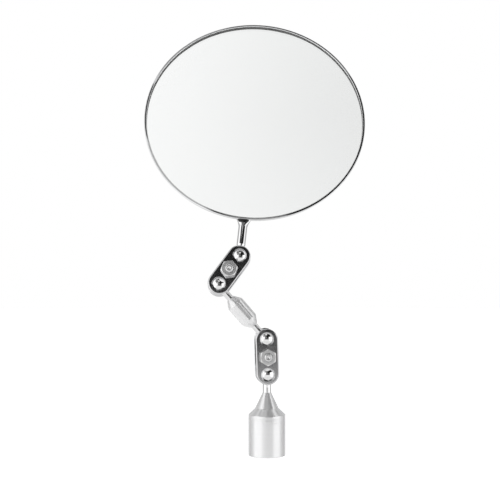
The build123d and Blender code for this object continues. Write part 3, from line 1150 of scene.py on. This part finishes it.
@dataclass(frozen=True)
class BallClamp:
    """Two plates that pinch a ball at each end, drawn together by one screw and nut."""

    name: str
    nut_turn: float
    spacing: float = 13.0
    length: float = 20.6
    width: float = 8.4
    inner: float = 2.25
    thickness: float = 0.9
    edge_round: float = 0.5
    inner_break: float = 0.3
    end_sides: int = 28
    seat_radius: float = 2.35
    seat_lip: float = 0.16
    seat_sides: int = 64
    cup_radius: float = 3.52
    screw_hole: float = 1.65
    hole_sides: int = 48
    nut_flats: float = 5.5
    nut_height: float = 2.4
    nut_shoulder: float = 0.96
    nut_chamfer: float = 30.0
    nut_sides: int = 96
    screw_radius: float = 1.48
    thread_depth: float = 0.16
    thread_pitch: float = 0.5
    thread_length: float = 0.75
    tip_reach: float = 2.88
    tip_dimple: tuple[Point, ...] = (
        (0.0, 0.42), (0.18, 0.40), (0.40, 0.28), (0.58, 0.07),
        (0.66, 0.01), (0.74, 0.0), (1.02, 0.0), (1.10, 0.03),
    )
    tip_chamfer: float = 0.26
    head_radius: float = 2.8
    head_height: float = 2.0
    head_round: float = 0.9
    recess_length: float = 3.1
    recess_width: float = 0.72
    recess_height: float = 1.7
    recess_floor: float = 0.62
    washer_outer: float = 2.9
    washer_inner: float = 1.6
    washer_thickness: float = 0.7
    washer_break: float = 0.08
    washer_gap: float = 0.25
    washer_slant: float = 7.0

    @property
    def outer(self) -> float:
        """Returns the height of a plate's outer face."""
        return self.inner + self.thickness

    def seat(self, frame: Frame, first: str, second: str) -> Seat:
        """Returns the clamp's seat, halfway between its two balls.

        Args:
            frame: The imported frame.
            first: The swing joint at the lower ball.
            second: The swing joint at the upper ball.

        Returns:
            The seat, with its axis out of the front and its length across.
        """
        low, high = frame.pivot(first), frame.pivot(second)
        return Seat.standing((low + high) / 2, frame.facing(first), high - low)

    def _stadium(self, inset: float) -> list[Point]:
        """Returns the plate's outline, drawn in by an inset."""
        reach = (self.length - self.width) / 2
        radius = self.width / 2 - inset
        points = []
        for end, start in ((1, -90.0), (-1, 90.0)):
            for step in range(self.end_sides + 1):
                angle = math.radians(start + 180.0 * step / self.end_sides)
                points.append((end * reach + radius * math.cos(angle), radius * math.sin(angle)))
        return points

    @staticmethod
    def _circle(radius: float, centre: float, sides: int) -> list[Point]:
        """Returns a circle on the plate's middle line."""
        turns = (math.tau * step / sides for step in range(sides))
        return [(centre + radius * math.cos(turn), radius * math.sin(turn)) for turn in turns]

    @staticmethod
    def _wall(shell: bmesh.types.BMesh, rings: Sequence[tuple[list[Point], float]]) -> tuple[list, list]:
        """Joins rings of points into a wall.

        Args:
            shell: The mesh under way.
            rings: Each ring's points and its height, from the inner face to the outer.

        Returns:
            The edges of the first ring and of the last.
        """
        loops = [[shell.verts.new((x, y, height)) for x, y in points] for points, height in rings]
        following = [*range(1, len(loops[0])), 0]
        for below, above in zip(loops, loops[1:]):
            for index, after in enumerate(following):
                shell.faces.new((below[index], below[after], above[after], above[index]))
        first, last = (
            [shell.edges.get((loop[index], loop[after])) for index, after in enumerate(following)]
            for loop in (loops[0], loops[-1])
        )
        return first, last

    def plate_mesh(self, name: str) -> bpy.types.Mesh:
        """Makes a plate, with rounded outer edges and a rolled lip round each ball.

        Args:
            name: The mesh's name.

        Returns:
            The plate, in the clamp's millimetres.
        """
        shell = bmesh.new()
        steps = 6
        rim = [
            (self._stadium(self.inner_break), self.inner),
            (self._stadium(0.0), self.inner + self.inner_break),
        ]
        for step in range(steps + 1):
            angle = math.radians(90.0 * step / steps)
            inset = self.edge_round * (1 - math.cos(angle))
            rim.append((self._stadium(inset), self.outer - self.edge_round * (1 - math.sin(angle))))
        first, last = self._wall(shell, rim)
        lip = (
            (math.sqrt(self.cup_radius**2 - self.inner**2), self.inner),
            (self.seat_radius, math.sqrt(self.cup_radius**2 - self.seat_radius**2)),
            (self.seat_radius, self.outer - self.seat_lip),
            (self.seat_radius + 0.05, self.outer - 0.04),
            (self.seat_radius + self.seat_lip, self.outer),
        )
        bore = ((self.screw_hole, self.inner), (self.screw_hole, self.outer))
        for section, centre, sides in (
            (lip, -self.spacing / 2, self.seat_sides),
            (lip, self.spacing / 2, self.seat_sides),
            (bore, 0.0, self.hole_sides),
        ):
            rings = [(self._circle(radius, centre, sides), height) for radius, height in section]
            low, high = self._wall(shell, rings)
            first += low
            last += high
        for edges in (first, last):
            bmesh.ops.triangle_fill(shell, edges=edges, use_beauty=True)
        return settle(shell, name)

    def nut_mesh(self, name: str) -> bpy.types.Mesh:
        """Makes the nut, whose chamfers cut its six corners back in curves.

        Args:
            name: The mesh's name.

        Returns:
            The nut, in the clamp's millimetres.
        """
        flat = self.nut_flats / 2
        shoulder = flat * self.nut_shoulder
        bore = self.screw_radius + 0.02
        bottom, top = self.outer, self.outer + self.nut_height
        slope = math.tan(math.radians(self.nut_chamfer))
        rings: list[list[Vector]] = [[] for _ in range(8)]
        for step in range(self.nut_sides):
            angle = math.tau * step / self.nut_sides
            swing = (angle + math.pi / 6) % (math.pi / 3) - math.pi / 6
            reach = flat / math.cos(swing)
            drop = (reach - shoulder) * slope
            section = (
                (bore, bottom),
                (bore, top - 0.25),
                (bore + 0.25, top),
                (shoulder, top),
                (reach, top - drop),
                (reach, bottom + drop),
                (shoulder, bottom),
                (bore + 0.28, bottom),
            )
            turned = angle + math.radians(self.nut_turn)
            for ring, (radius, height) in zip(rings, section):
                ring.append(Vector((radius * math.cos(turned), radius * math.sin(turned), height)))
        return loft(name, rings, closed=True)

    def screw_mesh(self, shop: Workshop, name: str, material: bpy.types.Material) -> bpy.types.Mesh:
        """Makes the screw, with a dimpled tip and a cross recess in its pan head.

        Args:
            shop: The workshop.
            name: The mesh's name.
            material: The screw's material.

        Returns:
            The screw, in the clamp's millimetres.
        """
        tip = self.outer + self.tip_reach
        seat = -(self.outer + self.washer_thickness)
        top = seat - self.head_height
        core = self.screw_radius - self.thread_depth
        outline = Outline(*((radius, tip - drop) for radius, drop in self.tip_dimple))
        outline.to(core, tip - self.tip_chamfer).to(core, seat)
        outline.to(self.head_radius - 0.06, seat).to(self.head_radius, seat - 0.06)
        bend = self.head_round
        outline.arc((self.head_radius - bend, top + bend), bend, 0.0, -90.0)
        screw = shop.lathe.spin(name, outline.to(0.0, top), 64, material)
        for turn in (0.0, 90.0):
            screw = carve(screw, self._recess_arm(top, turn))
        return screw

    def _recess_arm(self, top: float, turn: float) -> bpy.types.Mesh:
        """Makes one arm of the cross that is cut into the screw's head, narrower at its floor.

        Args:
            top: The height of the head's end.
            turn: The arm's direction, in degrees.

        Returns:
            The arm.
        """
        shell = bmesh.new()
        arm = bmesh.ops.create_cube(shell, size=1.0)["verts"]
        for corner in arm:
            narrow = self.recess_floor if corner.co.z > 0 else 1.0
            corner.co.x *= self.recess_length * narrow
            corner.co.y *= self.recess_width * narrow
            corner.co.z *= self.recess_height
        place = Matrix.Translation((0, 0, top + 0.35)) @ Matrix.Rotation(math.radians(turn), 4, "Z")
        bmesh.ops.transform(shell, verts=arm, matrix=place)
        return settle(shell, "recess_arm")

    def washer_mesh(self, name: str) -> bpy.types.Mesh:
        """Makes the split lock washer, whose ends stand a little apart.

        Args:
            name: The mesh's name.

        Returns:
            The washer, in the clamp's millimetres.
        """
        bottom, top, ease = -(self.outer + self.washer_thickness), -self.outer, self.washer_break
        section = (
            (self.washer_inner, bottom + ease),
            (self.washer_inner + ease, bottom),
            (self.washer_outer - ease, bottom),
            (self.washer_outer, bottom + ease),
            (self.washer_outer, top - ease),
            (self.washer_outer - ease, top),
            (self.washer_inner + ease, top),
            (self.washer_inner, top - ease),
        )
        sides = 72
        rings = []
        for step in range(sides + 1):
            ring = []
            for radius, height in section:
                gap = self.washer_gap / radius
                slant = math.radians(self.washer_slant) * (height - bottom) / self.washer_thickness
                angle = math.pi / 2 + gap + slant + step / sides * (math.tau - 2 * gap)
                ring.append((radius * math.cos(angle), radius * math.sin(angle), height))
            rings.append(ring)
        return loft(name, rings)

    def build(self, shop: Workshop, seat: Seat) -> None:
        """Makes the clamp's five pieces and the thread at the screw's tip.

        Args:
            shop: The workshop.
            seat: The clamp's seat.
        """
        body = self.name
        back = Seat(seat.origin, -seat.axis, seat.across)
        for side, place in (("front", seat), ("back", back)):
            node = f"{body}_{side}_plate"
            shop.fitted(node, "pressed", self.plate_mesh(node), place, body, Finishes.PLATE)
        node = f"{body}_nut"
        shop.fitted(node, "hexagon", self.nut_mesh(node), seat, body, Finishes.HARDWARE, Smoothing.CRISP)
        node = f"{body}_screw"
        material = Finishes.HARDWARE.material(shop.effects, seat, node)
        screw = self.screw_mesh(shop, node, material)
        shop.hang(f"{node}_turned", screw, seat, body, material, (node,))
        start = seat.moved(self.outer + self.nut_height - 0.6)
        middle = self.screw_radius - self.thread_depth + 0.02
        shop.thread(
            f"{node}_thread", start, body, Finishes.HARDWARE, middle, self.thread_depth,
            self.thread_pitch, self.thread_length,
        )
        node = f"{body}_lock_washer"
        shop.fitted(node, "split", self.washer_mesh(node), seat, body, Finishes.WASHER)


# ---------------------------------------------------------------------------------------------
# Link
# ---------------------------------------------------------------------------------------------


@dataclass(frozen=True)
class Link:
    """The turned sleeve between the clamps, with a ball on a neck at each end."""

    length: float = 26.2
    neck_radius: float = 1.25
    shank_end: float = 10.4
    sleeve_radius: float = 3.25
    sleeve_end_radius: float = 1.5
    sleeve_start: float = 6.55
    taper: float = 2.6

    def sleeve_outline(self) -> Outline:
        """Returns the sleeve's outline, from the lower end up, with lightly broken edges."""
        start, end = self.sleeve_start, self.length - self.sleeve_start
        hole = self.neck_radius + 0.03
        return rounded((
            (hole, start + 1.0, 0.0),
            (hole, start, 0.05),
            (self.sleeve_end_radius, start, 0.08),
            (self.sleeve_radius, start + self.taper, 0.3),
            (self.sleeve_radius, end - self.taper, 0.3),
            (self.sleeve_end_radius, end, 0.08),
            (hole, end, 0.05),
            (hole, end - 1.0, 0.0),
        ))

    def build(self, shop: Workshop, lower: Seat, upper: Seat) -> None:
        """Makes the sleeve, the necks and the balls.

        Args:
            shop: The workshop.
            lower: The lower ball's centre, with the axis along the link.
            upper: The upper ball's centre, with the axis back along the link.
        """
        sleeve = self.sleeve_outline()
        node = "link_sleeve"
        shop.turned(f"{node}_turned", sleeve, lower, node, Finishes.ALUMINIUM, (node,), closed=True)
        end = BallEnd()
        rest = ((self.neck_radius, 5.0), (self.neck_radius, self.shank_end), (0.0, self.shank_end))
        for side, seat in (("lower", lower), ("upper", upper)):
            outline, neck = end.neck_outline(self.neck_radius, rest), f"link_{side}_neck"
            shop.turned(f"{neck}_turned", outline, seat, neck, Finishes.NECK, (f"link_{side}_stud",), 64)
            end.make_ball(shop, f"link_{side}_ball", seat, f"link_{side}_ball")


# ---------------------------------------------------------------------------------------------
# Socket
# ---------------------------------------------------------------------------------------------


@dataclass(frozen=True)
class PoleSocket:
    """The turned socket that a pole screws into, with a ball on a neck at its top."""

    radius: float = 6.75
    height: float = 15.1
    shoulder_radius: float = 4.3
    shoulder_height: float = 17.4
    top_radius: float = 1.55
    top_height: float = 23.2
    thread_radius: float = 4.25
    thread_root: float = 4.93
    thread_depth: float = 12.0
    thread_start: float = 0.9
    thread_ridge: float = 0.46
    thread_pitch: float = 1.5
    neck_radius: float = 1.5
    ball_height: float = 29.9
    grooves: tuple[float, ...] = (12.6, 13.5, 14.1)
    groove_depth: float = 0.045
    groove_half_width: float = 0.09

    def outline(self) -> Outline:
        """Returns the socket's outline, from the bore's floor, round the outside, to the top.

        Returns:
            The outline, with tool grooves near the shoulder and a countersunk mouth.
        """
        root = self.thread_root
        corners = [
            (0.0, self.thread_depth + 2.5, 0.0),
            (self.thread_radius, self.thread_depth, 0.0),
            (root, self.thread_depth - 0.3, 0.1),
            (root, 0.55, 0.1),
            (root + 0.5, 0.0, 0.08),
            (self.radius - 0.25, 0.0, 0.1),
            (self.radius, 0.25, 0.1),
        ]
        for groove in self.grooves:
            corners += [
                (self.radius, groove - self.groove_half_width, 0.02),
                (self.radius - self.groove_depth, groove, 0.02),
                (self.radius, groove + self.groove_half_width, 0.02),
            ]
        corners += [
            (self.radius, self.height, 0.12),
            (self.shoulder_radius, self.shoulder_height, 0.12),
            (self.top_radius, self.top_height, 0.08),
            (0.0, self.top_height, 0.0),
        ]
        return rounded(corners, 3)

    def build(self, shop: Workshop, ball: Seat) -> None:
        """Makes the socket, its thread, the neck and the ball.

        Args:
            shop: The workshop.
            ball: The ball's centre, with the axis towards the socket.
        """
        foot = Seat(Vector((0, 0, 0)), Vector((0, 0, 1)), Vector((1, 0, 0)))
        node, finish = "pole_socket", Finishes.ALUMINIUM
        shop.turned(f"{node}_turned", self.outline(), foot, "socket", finish, (node,), 160)
        shop.thread(
            f"{node}_thread", foot.moved(self.thread_start), "socket", finish, self.thread_root - 0.2,
            self.thread_ridge, self.thread_pitch, self.thread_depth - 1.0 - self.thread_start,
        )
        end = BallEnd()
        reach = self.ball_height - self.top_height + 0.4
        rest = ((self.neck_radius, 5.0), (self.neck_radius, reach), (0.0, reach))
        neck = end.neck_outline(self.neck_radius, rest)
        shop.turned("socket_neck_turned", neck, ball, "socket_neck", Finishes.NECK, ("socket_stud",), 64)
        end.make_ball(shop, "socket_ball", ball, "socket_ball")


# ---------------------------------------------------------------------------------------------
# Mirror head
# ---------------------------------------------------------------------------------------------


@dataclass(frozen=True)
class MirrorHead:
    """The rimmed mirror with its foot, stem and ball."""

    radius: float = 42.475
    depth: float = 2.4
    glass_radius: float = 41.75
    glass_front: float = 0.9
    glass_back: float = -0.4
    silver_back: float = -0.45
    arris: float = 0.1
    paint: float = 0.15
    front_lip_radius: float = 41.5
    bead_rise: float = 0.52
    crown: tuple[Point, ...] = (
        (0.0, 0.12), (0.02, 0.05), (0.05, 0.012), (0.1, 0.0), (0.18, 0.0),
        (0.26, 0.012), (0.36, 0.034), (0.46, 0.057), (0.56, 0.08), (0.66, 0.103),
        (0.76, 0.126), (0.84, 0.152), (0.9, 0.2), (0.95, 0.28), (0.98, 0.38),
    )
    wall_bend: float = 0.6
    back_radius: float = 41.865
    back_lip_radius: float = 41.2
    wall: float = 0.35
    seam_angle: float = 135.0
    seam: float = 0.12
    seam_pinch: float = 0.0016
    sheet_radius: float = 41.58
    sheet_back: float = -0.95
    sheet_front: float = -0.65
    bead_radius: float = 31.0
    bead_half_width: float = 2.0
    bead_height: float = 0.5
    stem_length: float = 14.7
    pitch: float = 42.5
    stem_radius: float = 1.65
    neck_radius: float = 1.4
    foot_start: float = 12.0
    foot_half_width: float = 2.75
    foot_half_depth: float = 1.1
    foot_flare: float = 1.7
    foot_thinning: float = 0.9
    foot_overlap: float = 0.05
    foot_facing: float = -1.0
    braze_half_width: float = 2.65
    braze_half_depth: float = 1.3
    braze_height: float = 1.25
    braze_narrowing: float = 0.3
    braze_swell: float = 0.22

    def wall_radius(self, height: float) -> float:
        """Returns the rim's outer radius at a height, which draws in towards the back."""
        fall = (self.radius - self.back_radius) / (self.wall_bend + self.depth / 2)
        return self.radius - max(0.0, self.wall_bend - height) * fall

    def rim_section(self) -> list[Point]:
        """Returns the rim's section: a rounded bead at the front and a lip rolled over at the back."""
        half = self.depth / 2
        outline = Outline((self.front_lip_radius, self.glass_front))
        foot = half - self.bead_rise
        width = self.radius - self.front_lip_radius
        for share, drop in self.crown:
            outline.to(self.front_lip_radius + width * share, half - drop)
        back = rounded((
            (self.radius, foot, 0.0),
            (self.radius, self.wall_bend, 0.15),
            (self.back_radius, -half, 0.3),
            (self.back_lip_radius, -half, 0.1),
            (self.back_lip_radius, self.sheet_back, 0.06),
            (self.wall_radius(self.sheet_back) - self.wall, self.sheet_back, 0.05),
            (self.radius - self.wall, self.wall_bend, 0.05),
            (self.radius - self.wall, self.glass_front, 0.0),
        ), 6)
        return outline.points + back.points[1:]

    def rim_mesh(self, name: str) -> bpy.types.Mesh:
        """Makes the rim, open by a hair at its butt seam.

        Args:
            name: The mesh's name.

        Returns:
            The rim, in the head's millimetres.
        """
        section = self.rim_section()
        sides = 360
        gap = self.seam / self.radius / 2
        start = math.radians(self.seam_angle) + gap
        rings = []
        for step in range(sides + 1):
            angle = start + (math.tau - 2 * gap) * step / sides
            near = min(step, sides - step) / 2.0
            pinch = 1.0 - self.seam_pinch * math.exp(-near)
            turn = Vector((math.cos(angle), math.sin(angle), 0.0))
            rings.append([turn * radius * pinch + Vector((0, 0, height)) for radius, height in section])
        return loft(name, rings)

    def glass_outline(self) -> Outline:
        """Returns the glass's outline, with its edges taken off."""
        outer, front, back, arris = self.glass_radius, self.glass_front, self.glass_back, self.arris
        outline = Outline((0.0, front)).to(outer - arris, front).to(outer, front - arris)
        return outline.to(outer, back + arris).to(outer - arris, back).to(0.0, back)

    def silver_outline(self) -> Outline:
        """Returns the silvering's outline, keyed a hair into the glass."""
        outer, front = self.glass_radius - self.arris, self.glass_back + 0.015
        return Outline((0.0, front)).to(outer, front).to(outer, self.silver_back).to(0.0, self.silver_back)

    def paint_outline(self) -> Outline:
        """Returns the outline of the paint that seals the glass's ground edge."""
        inner, outer = self.glass_radius - self.paint, self.glass_radius + 0.02
        front, back = self.glass_front - 0.02, self.glass_back
        return Outline((inner, front)).to(outer, front).to(outer, back).to(inner, back)

    def sheet_outline(self) -> Outline:
        """Returns the back sheet's outline, with the pressed bead."""
        start, width = self.bead_radius - self.bead_half_width, 2 * self.bead_half_width

        def bead(height: float, narrow: float) -> list[Point]:
            """Returns the bead's crossing on one face, from the inside out."""
            steps = 12
            return [
                (
                    start + narrow + (width - 2 * narrow) * index / steps,
                    height - self.bead_height * (1 - math.cos(math.tau * index / steps)) / 2,
                )
                for index in range(1, steps)
            ]

        outline = Outline((0.0, self.sheet_front), *bead(self.sheet_front, 0.1))
        outline.to(self.sheet_radius, self.sheet_front).to(self.sheet_radius, self.sheet_back)
        outline.points += reversed(bead(self.sheet_back, 0.0))
        return outline.to(0.0, self.sheet_back)

    def wall_height(self, x: float, y: float) -> float:
        """Returns how high above the ball the rim's wall is met, at a place across the stem."""
        wall = self.wall_radius(y * self.foot_facing) - self.foot_overlap
        return self.stem_length + self.pitch - math.sqrt(wall**2 - x**2)

    def foot_mesh(self, name: str) -> bpy.types.Mesh:
        """Makes the fishtail foot, which flares from the round stem to the rim's wall.

        Args:
            name: The mesh's name.

        Returns:
            The foot, in the stem's millimetres.
        """
        sides, steps = 48, 14
        rings = []
        for step in range(steps + 1):
            share = step / steps
            flare = (self.foot_half_width - self.stem_radius) * share**self.foot_flare
            thinning = (self.stem_radius - self.foot_half_depth) * share**self.foot_thinning
            ring = []
            for side in range(sides):
                angle = math.tau * side / sides
                x = (self.stem_radius + 0.02 + flare) * math.cos(angle)
                y = (self.stem_radius + 0.02 - thinning) * math.sin(angle)
                rise = (self.wall_height(x, y) - self.foot_start) * share
                ring.append((x, y, self.foot_start + rise))
            rings.append(ring)
        return loft(name, rings)

    def braze_mesh(self, name: str) -> bpy.types.Mesh:
        """Makes the fillet of braze where the foot meets the rim's wall; its near-black finish is painted
        shade.

        Args:
            name: The mesh's name.

        Returns:
            The fillet, in the stem's millimetres.
        """
        sides, steps = 64, 8
        rings = []
        for step in range(steps + 1):
            share = step / steps
            narrow = 1.0 - self.braze_narrowing * share**0.8
            swell = 1.0 + self.braze_swell * math.sin(0.8 * math.pi * share)
            ring = []
            for side in range(sides):
                angle = math.tau * side / sides
                ripple = 1.0 + 0.025 * math.sin(5 * angle + 1.0) + 0.015 * math.sin(11 * angle)
                x = self.braze_half_width * narrow * math.cos(angle) * ripple
                y = self.braze_half_depth * swell * math.sin(angle) * ripple
                ring.append((x, y, self.wall_height(x, y) - self.braze_height * share))
            rings.append(ring)
        return loft(name, rings)

    def build(self, shop: Workshop, head: Seat, stem: Seat) -> None:
        """Makes the head's pieces.

        Args:
            shop: The workshop.
            head: The mirror's centre, with the axis out of its face.
            stem: The ball's centre, with the axis up the stem.
        """
        body, steps = "mirror_head", 240
        shop.fitted("rim", "rolled", self.rim_mesh("rim"), head, body, Finishes.RIM)
        glass, silver, sheet = self.glass_outline(), self.silver_outline(), self.sheet_outline()
        shop.turned("mirror_glass_ground", glass, head, body, Finishes.GLASS, ("mirror_glass",), steps)
        shop.turned("silvering_layer", silver, head, body, Finishes.SILVER, ("silvering",), steps)
        shop.turned("glass_edge_paint", self.paint_outline(), head, body, Finishes.PAINT, (), steps, True)
        shop.redress("backing_card", Finishes.CARD, head)
        shop.turned("back_sheet_pressed", sheet, head, body, Finishes.SHEET, ("back_sheet",), 192)
        shop.fitted("stem_foot", "flared", self.foot_mesh("stem_foot"), stem, body, Finishes.NECK)
        # The fillet is real braze, but its near-black finish is painted shade and painted reflection of the
        # gap under the rim.
        name, finish = "foot_braze_painted_shade", Finishes.BRAZE_PAINTED_SHADE
        material = finish.material(shop.effects, stem, name)
        shop.hang(name, self.braze_mesh(name), stem, body, material, (), Smoothing.SOFT)
        end = BallEnd()
        top = self.foot_start + 0.3
        rest = (
            (self.neck_radius, 4.35),
            (self.stem_radius - 0.04, 4.72),
            (self.stem_radius, 4.86),
            (self.stem_radius, top - 0.3),
            (self.stem_radius - 0.3, top - 0.3),
            (self.stem_radius - 0.3, top),
            (0.0, top),
        )
        outline = end.neck_outline(self.neck_radius, rest)
        shop.turned("mirror_stem_turned", outline, stem, "mirror_neck", Finishes.NECK, ("mirror_stem",), 64)
        end.make_ball(shop, "mirror_ball", stem, "mirror_ball")


# ---------------------------------------------------------------------------------------------
# Studio
# ---------------------------------------------------------------------------------------------


@dataclass(frozen=True)
class Card:
    """A soft-edged patch of the studio, seen only in reflections. Angles are in degrees.

    Its azimuth is from the front, to the right, and its elevation is from level.
    """

    azimuth: float
    elevation: float
    half_width: float
    half_height: float
    soft: float
    value: float


@dataclass(frozen=True)
class Studio:
    """A pale floor, a bright room with a few dark and grey cards, and a level camera."""

    camera_place: Point = (-6.2, 75.4)
    camera_distance: float = 450.0
    focal_length: float = 88.3
    room: float = 1.2
    floor_drop: float = 135.0
    floor_radius: float = 4.0
    floor_colour: Colour = (0.82, 0.82, 0.82)
    floor_glow: float = 0.6
    cards: tuple[Card, ...] = (
        Card(180.0, 10.0, 90.0, 45.0, 12.0, 0.56),
        Card(124.0, 10.0, 9.0, 40.0, 6.0, 0.30),
        Card(-124.0, 10.0, 9.0, 40.0, 6.0, 0.30),
        Card(0.0, -66.0, 400.0, 42.0, 8.0, 0.78),
        Card(6.0, -14.0, 37.0, 16.0, 9.0, 0.82),
        Card(-70.0, 72.0, 50.0, 14.0, 6.0, 0.30),
        Card(40.0, 75.0, 65.0, 15.5, 2.0, 0.08),
        Card(8.5, 53.0, 14.0, 7.0, 0.8, 1.02),
        Card(27.0, 51.0, 23.0, 8.5, 11.0, 0.84),
        Card(-24.0, 32.0, 14.0, 10.0, 3.0, 0.42),
        Card(12.0, 2.5, 24.0, 9.0, 1.8, 0.20),
        Card(15.0, 1.0, 9.0, 6.0, 0.8, 0.02),
        Card(14.0, 20.0, 25.0, 10.0, 3.0, 0.015),
        Card(31.0, 32.5, 40.0, 11.0, 2.4, 0.015),
        Card(48.0, 49.5, 28.0, 10.5, 2.0, 0.015),
        Card(1.0, 17.6, 12.0, 3.2, 0.5, 0.36),
        Card(1.0, 35.8, 10.0, 3.4, 0.8, 0.36),
        Card(-31.0, 49.5, 25.5, 8.0, 1.0, 0.06),
        Card(12.0, 43.6, 20.0, 2.2, 0.5, 0.02),
    )

    def light(self) -> None:
        """Builds the room's light: white to the camera, and with its cards in reflections."""
        world = bpy.data.worlds.new("bright_room")
        bpy.context.scene.world = world
        world.use_nodes = True
        graph = Graph(world.node_tree)
        background = world.node_tree.nodes["Background"]
        direction = graph.add(
            "ShaderNodeSeparateXYZ", {"Vector": graph.add("ShaderNodeTexCoord").outputs["Generated"]}
        ).outputs
        level = graph.math("ARCTAN2", direction["X"], graph.math("MULTIPLY", direction["Y"], -1.0))
        azimuth = graph.math("DEGREES", level)
        elevation = graph.math("DEGREES", graph.math("ARCSINE", direction["Z"]))
        value = self.room
        for card in self.cards:
            across = graph.math("WRAP", graph.math("SUBTRACT", azimuth, card.azimuth), 180.0, -180.0)
            up = graph.math("SUBTRACT", elevation, card.elevation)
            bands = (
                graph.step(graph.math("ABSOLUTE", offset), half - card.soft, half + card.soft, 1.0, 0.0)
                for offset, half in ((across, card.half_width), (up, card.half_height))
            )
            change = graph.math("SUBTRACT", card.value, value)
            value = graph.math("MULTIPLY_ADD", change, graph.math("MULTIPLY", *bands), value)
        ray = graph.add("ShaderNodeLightPath")
        rest = graph.math("SUBTRACT", 1.0, value)
        seen = graph.math("MULTIPLY_ADD", rest, ray.outputs["Is Camera Ray"], value)
        graph.tree.links.new(seen, background.inputs["Color"])

    def floor(self) -> None:
        """Lays the pale floor below the lowest reach of the mirror. Reflections look past it."""
        shell = bmesh.new()
        bmesh.ops.create_circle(shell, cap_ends=True, segments=64, radius=self.floor_radius)
        mesh = settle(shell, "floor")
        mesh.transform(Matrix.Translation((0, 0, -self.floor_drop * MM)))
        made = bpy.data.materials.new("pale_floor")
        made.use_nodes = True
        shader = made.node_tree.nodes["Principled BSDF"]
        shader.inputs["Base Color"].default_value = (*self.floor_colour, 1.0)
        shader.inputs["Roughness"].default_value = 0.9
        shader.inputs["Emission Color"].default_value = (1.0, 1.0, 1.0, 1.0)
        shader.inputs["Emission Strength"].default_value = self.floor_glow
        mesh.materials.append(made)
        piece = bpy.data.objects.new("floor", mesh)
        bpy.context.scene.collection.objects.link(piece)
        piece.visible_glossy = False
        piece.visible_transmission = False

    def camera(self) -> None:
        """Sets the camera level in front of the object."""
        made = bpy.data.cameras.new("camera")
        made.lens = self.focal_length
        made.sensor_width = 36.0
        made.clip_start = 0.01
        made.clip_end = 20.0
        eye = bpy.data.objects.new("camera", made)
        eye.location = Vector((self.camera_place[0], -self.camera_distance, self.camera_place[1])) * MM
        eye.rotation_euler = (math.pi / 2, 0.0, 0.0)
        bpy.context.scene.collection.objects.link(eye)
        bpy.context.scene.camera = eye

    def build(self) -> None:
        """Sets up the light, the floor, the camera and plain colour handling."""
        bpy.context.scene.view_settings.view_transform = "Standard"
        self.light()
        self.floor()
        self.camera()


# ---------------------------------------------------------------------------------------------
# Main
# ---------------------------------------------------------------------------------------------


def corners(bounds: Iterable) -> list[list[float]]:
    """Returns a box as plain lists of numbers."""
    return [[float(number) for number in corner] for corner in bounds]


def main() -> None:
    """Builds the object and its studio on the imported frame."""
    logging.basicConfig(level=logging.INFO, format="%(name)s: %(message)s")
    frame = Frame()
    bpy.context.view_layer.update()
    shop = Workshop(frame)
    right = Vector((1, 0, 0))

    mirror_face = frame.flat_normal("mirror_glass")
    stem_axis = frame.axis("mirror_twist")
    head_across = stem_axis.cross(mirror_face)
    stem = Seat.standing(frame.pivot("mirror_twist"), stem_axis, head_across)
    sizes = MirrorHead()
    head = Seat.standing(
        stem.origin + stem_axis * (sizes.stem_length + sizes.pitch) * MM, mirror_face, head_across
    )
    sizes.build(shop, head, stem)

    upper = BallClamp("upper_clamp", nut_turn=44.0)
    upper.build(shop, upper.seat(frame, "link_upper_swing", "mirror_swing"))
    link_axis = frame.axis("link_lower_twist")
    Link().build(
        shop,
        Seat.standing(frame.pivot("link_lower_twist"), link_axis, right),
        Seat.standing(frame.pivot("link_upper_twist"), -link_axis, right),
    )
    lower = BallClamp("lower_clamp", nut_turn=28.0)
    lower.build(shop, lower.seat(frame, "socket_swing", "link_lower_swing"))
    PoleSocket().build(shop, Seat.standing(frame.pivot("socket_twist"), Vector((0, 0, -1)), right))

    Studio().build()
    LOG.info("%d pieces", shop.count)


if __name__ == "__main__":
    main()
